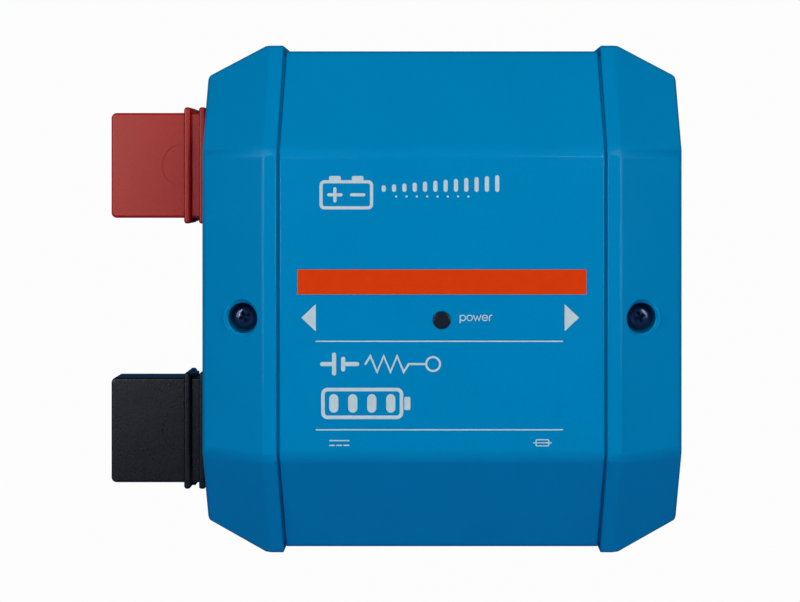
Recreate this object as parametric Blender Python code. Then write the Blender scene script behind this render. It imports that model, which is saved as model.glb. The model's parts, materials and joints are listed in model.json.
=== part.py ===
"""Wall-mounted battery monitor shunt, modelled piece by piece.

World frame: X to the right, Z up, the front faces -Y, the wall is the plane Y = 0.
Sizes below are millimetres in the case's own terms: x (right), z (up) and
h (height above the wall). to_world() turns them into metres.
"""

import math

import bmesh
import bpy
from mathutils import Matrix, Vector

MM = 0.001
GAP = 0.3                       # free space between neighbouring pieces
OVERSHOOT = 5.0                 # how far a cutter reaches past the material it cuts
BOTH_SIDES = (-1, 1)

# Case: one octagonal outline, drafted from the wall to the front.
CASE_DEPTH = 80.0
RIM = 30.0                      # where the cover meets the base tray
FLOOR = 3.0
CASE_FLAT = (64.6, 55.6)        # half width and half height of the level front
CASE_WALLS = (90.0, 95.6, 116.2)  # side, end and corner walls at the wall, from the middle
WALL_DRAFT = 0.022              # how far side and corner walls lean in per millimetre of height
CHAMFER_NORMAL = (0.4472, 0.8944)
SIDE_SLOPE = 0.584              # drop of the front per millimetre towards the sides
END_SLOPE = 0.677               # drop of the front per millimetre towards top and bottom
CAVITY_TOP = 76.0
CAVITY_FLAT = (62.8, 54.0)
CAVITY_WALLS = (87.2, 89.7, 111.7)
LIP_WALLS = (86.7, 89.2, 111.2)
LIP_TOP = 33.0
LIP_PLAY = 0.8                  # the lip stays this much clear of each slot
TRAY_WALLS = (85.4, 87.9, 109.9)
PANEL_HALF_WIDTH = 58.7
PANEL_TOP = 79.2
PANEL_FLAT_Z = 55.0
PANEL_END = 93.5
PANEL_SLOPE = 0.707
GROOVE_DEPTH = 1.4
CHEEK_INNER = 59.5              # a cheek's upright inner wall
GROOVE_WIDTH = 3.0
SHARP_ANGLE = math.radians(35.0)
ROUNDED_SHARP_ANGLE = math.radians(50.0)

# Two busbar lines, one above and one below the middle.
BAR_Z = 50.4
BAR_HALF_WIDTH = 17.5
BAR_THICKNESS = 5.0
BAR_UNDERSIDE = 31.0
TAB_UNDERSIDE = 36.0
TAB_TIP = -122.0
TAB_HOLE_X = -108.0
UNIT_PITCH = 180.0
BAR_RIGHT_END = 84.0
JOGGLE_START = -84.0
JOGGLE_RUN = 6.0
SLOT_HALF_WIDTH = 19.5
SLOT_TOP = 45.2
SLOT_REACH = (80.0, 95.0)       # where a slot cutter passes through a side wall

# Fuse and shunt, both on the bars.
FUSE_HALF_LENGTH = 22.0
FUSE_SIDE = 25.4
FUSE_STUD_X = 32.0
FUSE_BLADE_THICKNESS = 3.0
FUSE_BLADE_HALF_WIDTH = 9.0
FUSE_BLADE_DEPTH = 4.0          # how far a blade reaches into the body
SHUNT_INNER_X = 20.0
SHUNT_OUTER_X = 44.0
SHUNT_BOLT_X = 36.0
SHUNT_BLOCK_HEIGHT = 9.7
SHUNT_BLADE_COUNT = 4
SHUNT_BLADE_SPACING = 8.0
SHUNT_BLADE_HALF_THICKNESS = 0.6
SHUNT_BLADE_DEPTH = 3.0         # how far a strip reaches into a block

# M8 hardware.
M8_RADIUS = 4.0
M8_FLATS = 13.0
M8_HEAD_HEIGHT = 5.3
M8_NUT_HEIGHT = 6.5
M8_WASHER_RADIUS = 8.0
M8_WASHER_THICKNESS = 1.6

# The two cover screws.
SCREW_X = 72.4
SCREW_Z = -5.2
SCREW_RADIUS = 2.5
SCREW_HEAD_RADIUS = 4.5
SCREW_HEAD_HEIGHT = 3.2
SCREW_LENGTH = 20.0
SCREW_TURN = math.radians(22.0)
RECESS_RADIUS = 5.6
SCREW_SEAT = 64.5
TUBE_RADIUS = 7.3
TUBE_FOOT = 60.5
TUBE_LENGTH = 12.0
POST_RADIUS = 6.0
POST_FOOT = 1.0                 # posts start inside the tray's floor
INSERT_RADIUS = 3.8
INSERT_FOOT = 48.0
INSERT_LENGTH = 12.0
SCREW_POINT_DEPTH = 40.0
CROSS_HALF_LENGTH = 2.4
CROSS_HALF_WIDTH = 0.55
CROSS_FLOOR = 1.0

# Circuit board and status light.
BOARD_BACK = 57.0
BOARD_THICKNESS = 1.6
BOARD_HALF_WIDTH = 50.0
BOARD_LOW_Z = -58.0
BOARD_HIGH_Z = 10.0
BOARD_POST_X = 40.0
BOARD_POST_Z = 4.0
STANDOFF_X = 27.0
STANDOFF_Z = -36.2
BOARD_PIN_RADIUS = 1.3
BOARD_HOLE_RADIUS = 1.6
TERMINAL_X = 14.0
TERMINAL_Z = -44.0              # the mouth of the terminal header
LIGHT_X = -0.1
LIGHT_Z = -5.7
LIGHT_PIPE_RADIUS = 3.05
LIGHT_PIPE_FOOT = 68.0
LIGHT_FLANGE_RADIUS = 4.8

# Mounting holes to the wall.
MOUNT_X = 55.0
MOUNT_Z = 80.0
MOUNT_HOLE_RADIUS = 2.75
MOUNT_SEAT_RADIUS = 6.5
MOUNT_SEAT_HEIGHT = 5.5

# Cable entry in the bottom wall.
CABLE_HOLE_RADIUS = 8.5
CABLE_HOLE_H = 16.0
GROMMET_BORE = 6.0
GROMMET_LIP = 2.5

# End caps on the left tabs.
CAP_END = -126.0
CAP_HALF_WIDTH = 20.0
CAP_BACK = 31.5
CAP_FRONT = 45.5
CAP_FLANGES = ((-98.0, -95.3), (-92.3, -89.8))
CAP_SPIGOT_END = -84.0
CAP_BODY_END = -91.0
CAP_FLANGE_PROUD = 2.3
CAP_FLANGE_HALF_HEIGHT = 9.0
CAP_SPIGOT_HALF_WIDTH = 19.0
CAP_SPIGOT_H = (32.5, 44.5)
CAP_INSIDE_H = (33.9, 43.1)
CAP_DISC_RADIUS = 8.1

DIRECTIONS = {
    "x": Vector((1.0, 0.0, 0.0)),
    "z": Vector((0.0, 0.0, 1.0)),
    "h": Vector((0.0, -1.0, 0.0)),
}


def to_world(x, z, h):
    """Case coordinates in millimetres to world coordinates in metres."""
    return Vector((x * MM, -h * MM, z * MM))


# ---------------------------------------------------------------- materials

MATERIALS = {
    "blue_abs": ((0.003, 0.202, 0.445, 1.0), 0.42, 0.0),
    "red_plastic": ((0.38, 0.035, 0.03, 1.0), 0.45, 0.0),
    "black_plastic": ((0.018, 0.019, 0.021, 1.0), 0.45, 0.0),
    "black_rubber": ((0.012, 0.012, 0.012, 1.0), 0.8, 0.0),
    "clear_plastic": ((0.12, 0.12, 0.13, 1.0), 0.12, 0.0),
    "tinned_copper": ((0.72, 0.71, 0.69, 1.0), 0.32, 1.0),
    "brass": ((0.75, 0.55, 0.22, 1.0), 0.34, 1.0),
    "manganin": ((0.60, 0.36, 0.24, 1.0), 0.4, 1.0),
    "zinc_steel": ((0.62, 0.63, 0.65, 1.0), 0.3, 1.0),
    "dark_steel": ((0.05, 0.06, 0.08, 1.0), 0.3, 1.0),
    "fuse_ceramic": ((0.80, 0.77, 0.70, 1.0), 0.5, 0.0),
    "green_board": ((0.01, 0.12, 0.05, 1.0), 0.35, 0.0),
    "connector_nylon": ((0.02, 0.16, 0.08, 1.0), 0.5, 0.0),
    "relay_case": ((0.02, 0.06, 0.25, 1.0), 0.4, 0.0),
    "lamp_lens": ((0.10, 0.55, 0.18, 1.0), 0.15, 0.0),
}


def material(name):
    """The named Principled material, made on first use."""
    if name in bpy.data.materials:
        return bpy.data.materials[name]
    colour, roughness, metallic = MATERIALS[name]
    made = bpy.data.materials.new(name)
    made.use_nodes = True
    made.diffuse_color = colour
    shader = made.node_tree.nodes["Principled BSDF"]
    shader.inputs["Base Color"].default_value = colour
    shader.inputs["Roughness"].default_value = roughness
    shader.inputs["Metallic"].default_value = metallic
    return made


# ------------------------------------------------------------ mesh builders

def object_from(mesh_data, name, smooth):
    """Turn a bmesh into an object with outward faces."""
    bmesh.ops.recalc_face_normals(mesh_data, faces=mesh_data.faces)
    mesh = bpy.data.meshes.new(name)
    mesh_data.to_mesh(mesh)
    mesh_data.free()
    made = bpy.data.objects.new(name, mesh)
    bpy.context.scene.collection.objects.link(made)
    if smooth:
        mesh.shade_smooth()
        mesh.set_sharp_from_angle(angle=SHARP_ANGLE)
    return made


def hull(name, points):
    """The convex solid around a set of case points."""
    mesh_data = bmesh.new()
    for x, z, h in points:
        mesh_data.verts.new(to_world(x, z, h))
    result = bmesh.ops.convex_hull(mesh_data, input=mesh_data.verts)
    spare = set(result["geom_interior"]) | set(result["geom_unused"])
    spare_verts = [item for item in spare if isinstance(item, bmesh.types.BMVert)]
    bmesh.ops.delete(mesh_data, geom=spare_verts, context="VERTS")
    flat_angle = math.radians(0.2)
    bmesh.ops.dissolve_limit(
        mesh_data, angle_limit=flat_angle, verts=mesh_data.verts, edges=mesh_data.edges)
    return object_from(mesh_data, name, False)


def convex_solid(name, planes):
    """The solid that lies behind every one of some (point, outward normal) planes.

    Points and normals are (x, z, h) in the case's terms.
    """
    mesh_data = bmesh.new()
    bmesh.ops.create_cube(mesh_data, size=4.0 * CASE_WALLS[2] * MM)
    for point, normal in planes:
        whole = list(mesh_data.verts) + list(mesh_data.edges) + list(mesh_data.faces)
        bmesh.ops.bisect_plane(
            mesh_data, geom=whole, dist=1e-7, plane_co=to_world(*point),
            plane_no=to_world(*normal).normalized(), clear_outer=True)
        open_edges = [edge for edge in mesh_data.edges if edge.is_boundary]
        bmesh.ops.holes_fill(mesh_data, edges=open_edges)
    return object_from(mesh_data, name, False)


def box(name, x_range, z_range, h_range, rounding=0.0, steps=2):
    """A box, with all its edges rounded if a radius is given."""
    points = [(x, z, h) for x in x_range for z in z_range for h in h_range]
    made = hull(name, points)
    if rounding:
        mesh_data = bmesh.new()
        mesh_data.from_mesh(made.data)
        bmesh.ops.bevel(
            mesh_data, geom=mesh_data.edges, offset=rounding * MM, segments=steps,
            profile=0.5, affect="EDGES")
        mesh_data.to_mesh(made.data)
        mesh_data.free()
        made.data.shade_smooth()
        made.data.set_sharp_from_angle(angle=ROUNDED_SHARP_ANGLE)
    return made


def turned(name, profile, centre, direction="h", segments=32, ring=False):
    """Revolve (radius, position along the axis) points about an axis through centre."""
    axis = DIRECTIONS[direction]
    side = DIRECTIONS["x"] if direction != "x" else DIRECTIONS["z"]
    across = axis.cross(side)
    origin = to_world(*centre)
    mesh_data = bmesh.new()
    rows = []
    for radius, along in profile:
        foot = origin + axis * along * MM
        if radius == 0.0:
            rows.append([mesh_data.verts.new(foot)])
            continue
        row = []
        for step in range(segments):
            angle = 2.0 * math.pi * step / segments
            spoke = side * math.cos(angle) + across * math.sin(angle)
            row.append(mesh_data.verts.new(foot + spoke * radius * MM))
        rows.append(row)
    pairs = list(zip(rows, rows[1:]))
    if ring:
        pairs.append((rows[-1], rows[0]))
    for lower, upper in pairs:
        join_rows(mesh_data, lower, upper, segments)
    if not ring:
        for row in (rows[0], rows[-1]):
            if len(row) > 1:
                mesh_data.faces.new(row)
    return object_from(mesh_data, name, True)


def join_rows(mesh_data, lower, upper, segments):
    """Faces between two rows of a turned shape, either of which may be one point."""
    for step in range(segments):
        following = (step + 1) % segments
        if len(lower) == 1:
            mesh_data.faces.new((lower[0], upper[step], upper[following]))
        elif len(upper) == 1:
            mesh_data.faces.new((lower[step], lower[following], upper[0]))
        else:
            mesh_data.faces.new(
                (lower[step], lower[following], upper[following], upper[step]))


def cylinder(name, radius, centre, length, direction="h", segments=32):
    """A plain cylinder that starts at centre and runs along the direction."""
    return turned(name, [(radius, 0.0), (radius, length)], centre, direction, segments)


def tube(name, outer, inner, centre, length, segments=32):
    """A ring or sleeve standing up from centre."""
    profile = [(inner, 0.0), (outer, 0.0), (outer, length), (inner, length)]
    return turned(name, profile, centre, "h", segments, ring=True)


def hex_prism(name, flats, centre, length, bore=0.0):
    """A hexagonal head, or a nut if it has a bore."""
    radius = flats / math.sqrt(3.0)
    made = turned(name, [(radius, 0.0), (radius, length)], centre, "h", 6)
    made.data.shade_flat()
    if bore:
        foot = (centre[0], centre[1], centre[2] - OVERSHOOT)
        cut(made, cylinder(name + "_bore", bore, foot, length + 2.0 * OVERSHOOT, segments=24))
    return made


def extruded(name, outline, z_range):
    """Push a closed (x, h) outline through a range of z."""
    mesh_data = bmesh.new()
    row = [mesh_data.verts.new(to_world(x, z_range[0], h)) for x, h in outline]
    face = mesh_data.faces.new(row)
    pushed = bmesh.ops.extrude_face_region(mesh_data, geom=[face])
    moved = [item for item in pushed["geom"] if isinstance(item, bmesh.types.BMVert)]
    shift = Vector((0.0, 0.0, (z_range[1] - z_range[0]) * MM))
    bmesh.ops.translate(mesh_data, verts=moved, vec=shift)
    return object_from(mesh_data, name, False)


def swept(name, path, radius, segments=8):
    """A round wire along a list of case points."""
    points = [to_world(*point) for point in path]
    mesh_data = bmesh.new()
    rows = []
    for index, point in enumerate(points):
        before = points[max(index - 1, 0)]
        after = points[min(index + 1, len(points) - 1)]
        heading = (after - before).normalized()
        across = heading.cross(DIRECTIONS["x"]).normalized()
        upward = heading.cross(across)
        row = []
        for step in range(segments):
            angle = 2.0 * math.pi * step / segments
            spoke = across * math.cos(angle) + upward * math.sin(angle)
            row.append(mesh_data.verts.new(point + spoke * radius * MM))
        rows.append(row)
    for lower, upper in zip(rows, rows[1:]):
        join_rows(mesh_data, lower, upper, segments)
    mesh_data.faces.new(rows[0])
    mesh_data.faces.new(rows[-1])
    return object_from(mesh_data, name, True)


def combine(target, other, operation):
    """Join another solid to the target, or cut it away, and keep it as a guide."""
    other.hide_render = True
    other.display_type = "WIRE"
    modifier = target.modifiers.new(operation.lower(), "BOOLEAN")
    modifier.operation = operation
    modifier.solver = "EXACT"
    modifier.object = other


def cut(target, other):
    """Take a solid away from the target."""
    combine(target, other, "DIFFERENCE")


def join(target, other):
    """Add a solid to the target."""
    combine(target, other, "UNION")


def drill(target, radius, centre, depth_range, direction="h", segments=32):
    """Cut a round hole through a range of heights, or along another direction."""
    start = list(centre)
    start[{"x": 0, "z": 1, "h": 2}[direction]] = depth_range[0]
    length = depth_range[1] - depth_range[0]
    name = "{}_drill_{}".format(target.name, len(target.modifiers))
    cut(target, cylinder(name, radius, start, length, direction, segments))


def set_origin(made, x, z, h):
    """Put the object's origin on the given point without moving its shape."""
    origin = to_world(x, z, h)
    made.data.transform(Matrix.Translation(-origin))
    made.location = origin


def finish(made, material_name):
    """Give a finished piece its material."""
    made.data.materials.clear()
    made.data.materials.append(material(material_name))
    return made


# --------------------------------------------------------------- case shape

def level_planes(foot, top):
    """A back plane and a front plane, both level."""
    return [((0.0, 0.0, foot), (0.0, 0.0, -1.0)), ((0.0, 0.0, top), (0.0, 0.0, 1.0))]


def wall_planes(walls, sides=BOTH_SIDES):
    """The upright end walls and the drafted side and corner walls of the case outline."""
    wall_x, wall_z, wall_corner = walls
    corner_x, corner_z = CHAMFER_NORMAL
    planes = [((side * wall_x, 0.0, 0.0), (side, 0.0, WALL_DRAFT)) for side in sides]
    for end in BOTH_SIDES:
        planes.append(((0.0, end * wall_z, 0.0), (0.0, end, 0.0)))
        for side in sides:
            foot = (side * corner_x * wall_corner, end * corner_z * wall_corner, 0.0)
            planes.append((foot, (side * corner_x, end * corner_z, WALL_DRAFT)))
    return planes


def slope_planes(top, flat, sides=BOTH_SIDES):
    """The slopes that fall away around the level front."""
    flat_x, flat_z = flat
    planes = [((side * flat_x, 0.0, top), (side * SIDE_SLOPE, 0.0, 1.0)) for side in sides]
    for end in BOTH_SIDES:
        planes.append(((0.0, end * flat_z, top), (0.0, end * END_SLOPE, 1.0)))
        for side in sides:
            corner = (side * flat_x, end * flat_z, top)
            planes.append((corner, (side * SIDE_SLOPE, end * END_SLOPE, 1.0)))
    return planes


def cheek(name, side):
    """One raised outer third of the case."""
    planes = level_planes(-OVERSHOOT, CASE_DEPTH) + wall_planes(CASE_WALLS, (side,))
    planes += slope_planes(CASE_DEPTH, CASE_FLAT, (side,))
    planes.append(((side * CHEEK_INNER, 0.0, 0.0), (-side, 0.0, 0.0)))
    return convex_solid(name, planes)


def middle_third(name, half_width, sink):
    """The sunken middle of the case; the groove floor when sunk further in."""
    front = PANEL_TOP - sink
    planes = level_planes(-OVERSHOOT - sink, front)
    for sign in BOTH_SIDES:
        planes.append(((sign * half_width, 0.0, 0.0), (sign, 0.0, 0.0)))
        planes.append(((0.0, sign * PANEL_FLAT_Z, front), (0.0, sign * PANEL_SLOPE, 1.0)))
        planes.append(((0.0, sign * (PANEL_END - sink), 0.0), (0.0, sign, 0.0)))
    return convex_solid(name, planes)


def case_band(name, foot, top):
    """The whole case outline between two heights above the wall."""
    band = cheek(name, -1)
    join(band, middle_third(name + "_groove", PANEL_HALF_WIDTH + GROOVE_WIDTH, GROOVE_DEPTH))
    join(band, middle_third(name + "_panel", PANEL_HALF_WIDTH, 0.0))
    join(band, cheek(name + "_cheek", 1))
    reach = CASE_WALLS[2]
    slab = box(name + "_slab", (-reach, reach), (-reach, reach), (foot, top))
    combine(band, slab, "INTERSECT")
    return band


def busbar_slots(target, h_range, half_width, sides=BOTH_SIDES):
    """Openings in the side walls for the bars."""
    for side in sides:
        for line in (-BAR_Z, BAR_Z):
            x_range = (side * SLOT_REACH[0], side * SLOT_REACH[1])
            z_range = (line - half_width, line + half_width)
            cut(target, box(target.name + "_slot", x_range, z_range, h_range))


def front_cover():
    """The lift-off cover: two cheeks, a sunken panel and two screw tubes."""
    cover = case_band("front_cover", RIM, CASE_DEPTH + OVERSHOOT)
    inside = level_planes(RIM - OVERSHOOT, CAVITY_TOP) + wall_planes(CAVITY_WALLS)
    inside += slope_planes(CAVITY_TOP, CAVITY_FLAT)
    cut(cover, convex_solid("cover_cavity", inside))
    for side in BOTH_SIDES:
        foot = (side * SCREW_X, SCREW_Z, TUBE_FOOT)
        join(cover, cylinder("screw_tube", TUBE_RADIUS, foot, TUBE_LENGTH))
        drill(cover, RECESS_RADIUS, foot, (SCREW_SEAT, CASE_DEPTH + OVERSHOOT))
        drill(cover, SCREW_RADIUS + GAP, foot, (TUBE_FOOT - OVERSHOOT, SCREW_SEAT + 1.0))
    light_hole = (CAVITY_TOP - OVERSHOOT, CASE_DEPTH + OVERSHOOT)
    drill(cover, LIGHT_PIPE_RADIUS + GAP, (LIGHT_X, LIGHT_Z, 0.0), light_hole, segments=24)
    busbar_slots(cover, (RIM - OVERSHOOT, SLOT_TOP), SLOT_HALF_WIDTH)
    return finish(cover, "blue_abs")


def base_tray():
    """The tray on the wall, with posts for the cover screws and the board."""
    top = RIM - GAP
    tray = case_band("base_tray", 0.0, top)
    lip = level_planes(RIM / 2.0, LIP_TOP) + wall_planes(LIP_WALLS)
    join(tray, convex_solid("tray_lip", lip))
    inside = level_planes(FLOOR, LIP_TOP + OVERSHOOT) + wall_planes(TRAY_WALLS)
    cut(tray, convex_solid("tray_cavity", inside))
    lip_notch = SLOT_HALF_WIDTH + LIP_PLAY
    busbar_slots(tray, (top, LIP_TOP + OVERSHOOT), lip_notch)
    for side in BOTH_SIDES:
        add_cover_post(tray, side)
        add_board_post(tray, side)
        for end in BOTH_SIDES:
            seat = (side * MOUNT_X, end * MOUNT_Z, POST_FOOT)
            height = MOUNT_SEAT_HEIGHT - POST_FOOT
            join(tray, cylinder("mount_seat", MOUNT_SEAT_RADIUS, seat, height, segments=24))
            through = (-OVERSHOOT, MOUNT_SEAT_HEIGHT + OVERSHOOT)
            drill(tray, MOUNT_HOLE_RADIUS, seat, through, segments=24)
    through_wall = (-PANEL_END - OVERSHOOT, -TRAY_WALLS[1] + OVERSHOOT)
    drill(tray, CABLE_HOLE_RADIUS, (0.0, 0.0, CABLE_HOLE_H), through_wall, "z", 24)
    return finish(tray, "blue_abs")


def add_cover_post(tray, side):
    """A post that takes a cover screw in a brass insert."""
    foot = (side * SCREW_X, SCREW_Z, POST_FOOT)
    length = TUBE_FOOT - GAP - POST_FOOT
    join(tray, cylinder("cover_post", POST_RADIUS, foot, length, segments=24))
    insert_bore = (INSERT_FOOT - GAP, TUBE_FOOT + OVERSHOOT)
    drill(tray, INSERT_RADIUS + GAP, foot, insert_bore, segments=24)
    drill(tray, SCREW_RADIUS + GAP, foot, (SCREW_POINT_DEPTH, INSERT_FOOT + 1.0), segments=24)


def add_board_post(tray, side):
    """A stepped post whose pin holds the board's upper edge."""
    foot = (side * BOARD_POST_X, BOARD_POST_Z, POST_FOOT)
    shoulder = BOARD_BACK - GAP - POST_FOOT
    pin_end = shoulder + GAP + BOARD_THICKNESS + 1.7
    profile = [(4.5, 0.0), (3.5, shoulder), (BOARD_PIN_RADIUS, shoulder),
               (BOARD_PIN_RADIUS, pin_end)]
    join(tray, turned("board_post", profile, foot, segments=16))


# -------------------------------------------------------------- cover parts

def led_light_pipe():
    """The dark round window that carries the status light to the front."""
    profile = [
        (LIGHT_PIPE_RADIUS, 0.0), (LIGHT_PIPE_RADIUS, 5.8), (LIGHT_FLANGE_RADIUS, 5.8),
        (LIGHT_FLANGE_RADIUS, 7.4), (LIGHT_PIPE_RADIUS, 7.4), (LIGHT_PIPE_RADIUS, 10.8),
        (2.6, 11.0)]
    pipe = turned("led_light_pipe", profile, (LIGHT_X, LIGHT_Z, LIGHT_PIPE_FOOT), segments=24)
    return finish(pipe, "clear_plastic")


def cover_screw(name, side):
    """A pan-head cross-recess screw with a pointed tip."""
    underside = SCREW_SEAT + 1.0 + 2.0 * GAP
    profile = [
        (0.0, -SCREW_LENGTH), (1.6, -SCREW_LENGTH), (SCREW_RADIUS, -SCREW_LENGTH + 1.2),
        (SCREW_RADIUS, 0.0), (SCREW_HEAD_RADIUS, 0.0), (SCREW_HEAD_RADIUS, 1.4),
        (SCREW_HEAD_RADIUS - 0.7, 2.5), (SCREW_HEAD_RADIUS - 2.0, SCREW_HEAD_HEIGHT),
        (0.0, SCREW_HEAD_HEIGHT)]
    screw = turned(name, profile, (0.0, 0.0, 0.0), segments=24)
    for quarter in (0, 1):
        arm_x = (-CROSS_HALF_LENGTH, CROSS_HALF_LENGTH)
        arm_z = (-CROSS_HALF_WIDTH, CROSS_HALF_WIDTH)
        arm = box(name + "_arm", arm_x, arm_z, (CROSS_FLOOR, SCREW_HEAD_HEIGHT + OVERSHOOT))
        arm.data.transform(Matrix.Rotation(quarter * math.pi / 2.0 + SCREW_TURN, 4, "Y"))
        arm.parent = screw
        cut(screw, arm)
    screw.location = to_world(side * SCREW_X, SCREW_Z, underside)
    return finish(screw, "dark_steel")


def screw_washer(name, side):
    """The plain washer under a cover screw's head."""
    ring = tube(name, 4.9, SCREW_RADIUS + GAP, (0.0, 0.0, 0.0), 1.0, 24)
    ring.location = to_world(side * SCREW_X, SCREW_Z, SCREW_SEAT + GAP)
    return finish(ring, "dark_steel")


def threaded_insert(name, side):
    """The brass sleeve in a cover post."""
    foot = (side * SCREW_X, SCREW_Z, INSERT_FOOT)
    sleeve = tube(name, INSERT_RADIUS, SCREW_RADIUS + GAP, foot, INSERT_LENGTH, 24)
    return finish(sleeve, "brass")


def bar_cap(name, line, material_name):
    """A push-on cover for a bar's tab: box, two flanges and a spigot."""
    middle = (CAP_BACK + CAP_FRONT) / 2.0
    body_z = (line - CAP_HALF_WIDTH, line + CAP_HALF_WIDTH)
    reach = CAP_HALF_WIDTH + CAP_FLANGE_PROUD
    flange_z = (line - reach, line + reach)
    flange_h = (middle - CAP_FLANGE_HALF_HEIGHT, middle + CAP_FLANGE_HALF_HEIGHT)
    spigot_z = (line - CAP_SPIGOT_HALF_WIDTH, line + CAP_SPIGOT_HALF_WIDTH)
    cap = box(name, (CAP_END, CAP_BODY_END), body_z, (CAP_BACK, CAP_FRONT), 0.9)
    for flange in CAP_FLANGES:
        join(cap, box(name + "_flange", flange, flange_z, flange_h, 0.5))
    spigot_x = (CAP_BODY_END, CAP_SPIGOT_END)
    join(cap, box(name + "_spigot", spigot_x, spigot_z, CAP_SPIGOT_H))
    disc_foot = (CAP_FLANGES[0][0], line, CAP_FRONT - 1.5)
    join(cap, cylinder(name + "_disc", CAP_DISC_RADIUS, disc_foot, 1.8, segments=32))
    inside_z = (line - BAR_HALF_WIDTH - GAP, line + BAR_HALF_WIDTH + GAP)
    inside_x = (TAB_TIP - 1.6, CAP_SPIGOT_END + OVERSHOOT)
    cut(cap, box(name + "_inside", inside_x, inside_z, CAP_INSIDE_H))
    set_origin(cap, CAP_SPIGOT_END, line, middle)
    return finish(cap, material_name)


# ---------------------------------------------------- bars, fuse and shunt

def busbar_left(name, line, inner_end, stud_x):
    """A left bar: it steps forward and leaves the case as a tab."""
    step = JOGGLE_START + JOGGLE_RUN
    underside = [(TAB_TIP, TAB_UNDERSIDE), (JOGGLE_START, TAB_UNDERSIDE),
                 (step, BAR_UNDERSIDE), (inner_end, BAR_UNDERSIDE)]
    topside = [(x, h + BAR_THICKNESS) for x, h in reversed(underside)]
    z_range = (line - BAR_HALF_WIDTH, line + BAR_HALF_WIDTH)
    bar = extruded(name, underside + topside, z_range)
    drill(bar, M8_RADIUS + 0.5, (TAB_HOLE_X, line, 0.0), (30.0, 46.0), segments=24)
    drill(bar, M8_RADIUS + 0.5, (stud_x, line, 0.0), (25.0, 40.0), segments=24)
    return finish(bar, "tinned_copper")


def busbar_right(name, line, inner_end, stud_x):
    """A right bar, on which the next unit's tab lies."""
    z_range = (line - BAR_HALF_WIDTH, line + BAR_HALF_WIDTH)
    h_range = (BAR_UNDERSIDE, BAR_UNDERSIDE + BAR_THICKNESS)
    bar = box(name, (inner_end, BAR_RIGHT_END), z_range, h_range)
    for x in (TAB_HOLE_X + UNIT_PITCH, stud_x):
        drill(bar, M8_RADIUS + 0.5, (x, line, 0.0), (25.0, 40.0), segments=24)
    return finish(bar, "tinned_copper")


def fuse_body():
    """The square ceramic body of the main fuse, open at each end for its blades."""
    middle = BAR_UNDERSIDE + BAR_THICKNESS + GAP + FUSE_BLADE_THICKNESS / 2.0
    half = FUSE_SIDE / 2.0
    z_range = (BAR_Z - half, BAR_Z + half)
    x_range = (-FUSE_HALF_LENGTH, FUSE_HALF_LENGTH)
    body = box("fuse_body", x_range, z_range, (middle - half, middle + half), 1.2)
    slot_reach = FUSE_BLADE_HALF_WIDTH + GAP
    slot_z = (BAR_Z - slot_reach, BAR_Z + slot_reach)
    reach = FUSE_BLADE_THICKNESS / 2.0 + GAP
    for side in BOTH_SIDES:
        slot_end = FUSE_HALF_LENGTH - FUSE_BLADE_DEPTH - GAP
        x_range = (side * slot_end, side * (FUSE_HALF_LENGTH + OVERSHOOT))
        cut(body, box("fuse_slot", x_range, slot_z, (middle - reach, middle + reach)))
    return finish(body, "fuse_ceramic")


def fuse_blade(name, side):
    """One end blade of the fuse, with the hole for its stud."""
    foot = BAR_UNDERSIDE + BAR_THICKNESS + GAP
    x_range = (side * (FUSE_HALF_LENGTH - FUSE_BLADE_DEPTH), side * (FUSE_STUD_X + 9.5))
    z_range = (BAR_Z - FUSE_BLADE_HALF_WIDTH, BAR_Z + FUSE_BLADE_HALF_WIDTH)
    blade = box(name, x_range, z_range, (foot, foot + FUSE_BLADE_THICKNESS))
    drill(blade, M8_RADIUS + GAP, (side * FUSE_STUD_X, BAR_Z, 0.0), (30.0, 45.0), segments=24)
    return finish(blade, "tinned_copper")


def shunt_blade_lines():
    """The z of every resistance blade."""
    middle = (SHUNT_BLADE_COUNT - 1) / 2.0
    return [-BAR_Z + (index - middle) * SHUNT_BLADE_SPACING for index in range(SHUNT_BLADE_COUNT)]


def shunt_block(name, side):
    """A brass end block, slotted for the resistance blades."""
    foot = BAR_UNDERSIDE + BAR_THICKNESS + GAP
    x_range = (side * SHUNT_INNER_X, side * SHUNT_OUTER_X)
    z_range = (-BAR_Z - BAR_HALF_WIDTH, -BAR_Z + BAR_HALF_WIDTH)
    block = box(name, x_range, z_range, (foot, foot + SHUNT_BLOCK_HEIGHT))
    for line in shunt_blade_lines():
        slot_end = SHUNT_INNER_X + SHUNT_BLADE_DEPTH + GAP
        slot_x = (side * (SHUNT_INNER_X - OVERSHOOT), side * slot_end)
        slot_reach = SHUNT_BLADE_HALF_THICKNESS + GAP
        slot_z = (line - slot_reach, line + slot_reach)
        cut(block, box(name + "_slot", slot_x, slot_z, (foot + 1.2, foot + 15.0)))
    bolt = (side * SHUNT_BOLT_X, -BAR_Z, 0.0)
    drill(block, M8_RADIUS + GAP, bolt, (30.0, 60.0), segments=24)
    return finish(block, "brass")


def shunt_blade(name, line):
    """One upright manganin strip between the end blocks."""
    foot = BAR_UNDERSIDE + BAR_THICKNESS + GAP
    reach = SHUNT_INNER_X + SHUNT_BLADE_DEPTH
    z_range = (line - SHUNT_BLADE_HALF_THICKNESS, line + SHUNT_BLADE_HALF_THICKNESS)
    strip = box(name, (-reach, reach), z_range, (foot + 1.5, foot + SHUNT_BLOCK_HEIGHT))
    return finish(strip, "manganin")


def stud(name, x, line, top):
    """A hexagon bolt that stands up through a bar from below."""
    underside = BAR_UNDERSIDE - GAP
    head = hex_prism(name, M8_FLATS, (x, line, underside - M8_HEAD_HEIGHT), M8_HEAD_HEIGHT)
    length = top - underside + 1.0
    profile = [(M8_RADIUS, 0.0), (M8_RADIUS, length - 0.8), (M8_RADIUS - 0.8, length)]
    join(head, turned(name + "_shank", profile, (x, line, underside - 1.0), segments=24))
    return finish(head, "zinc_steel")


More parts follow.
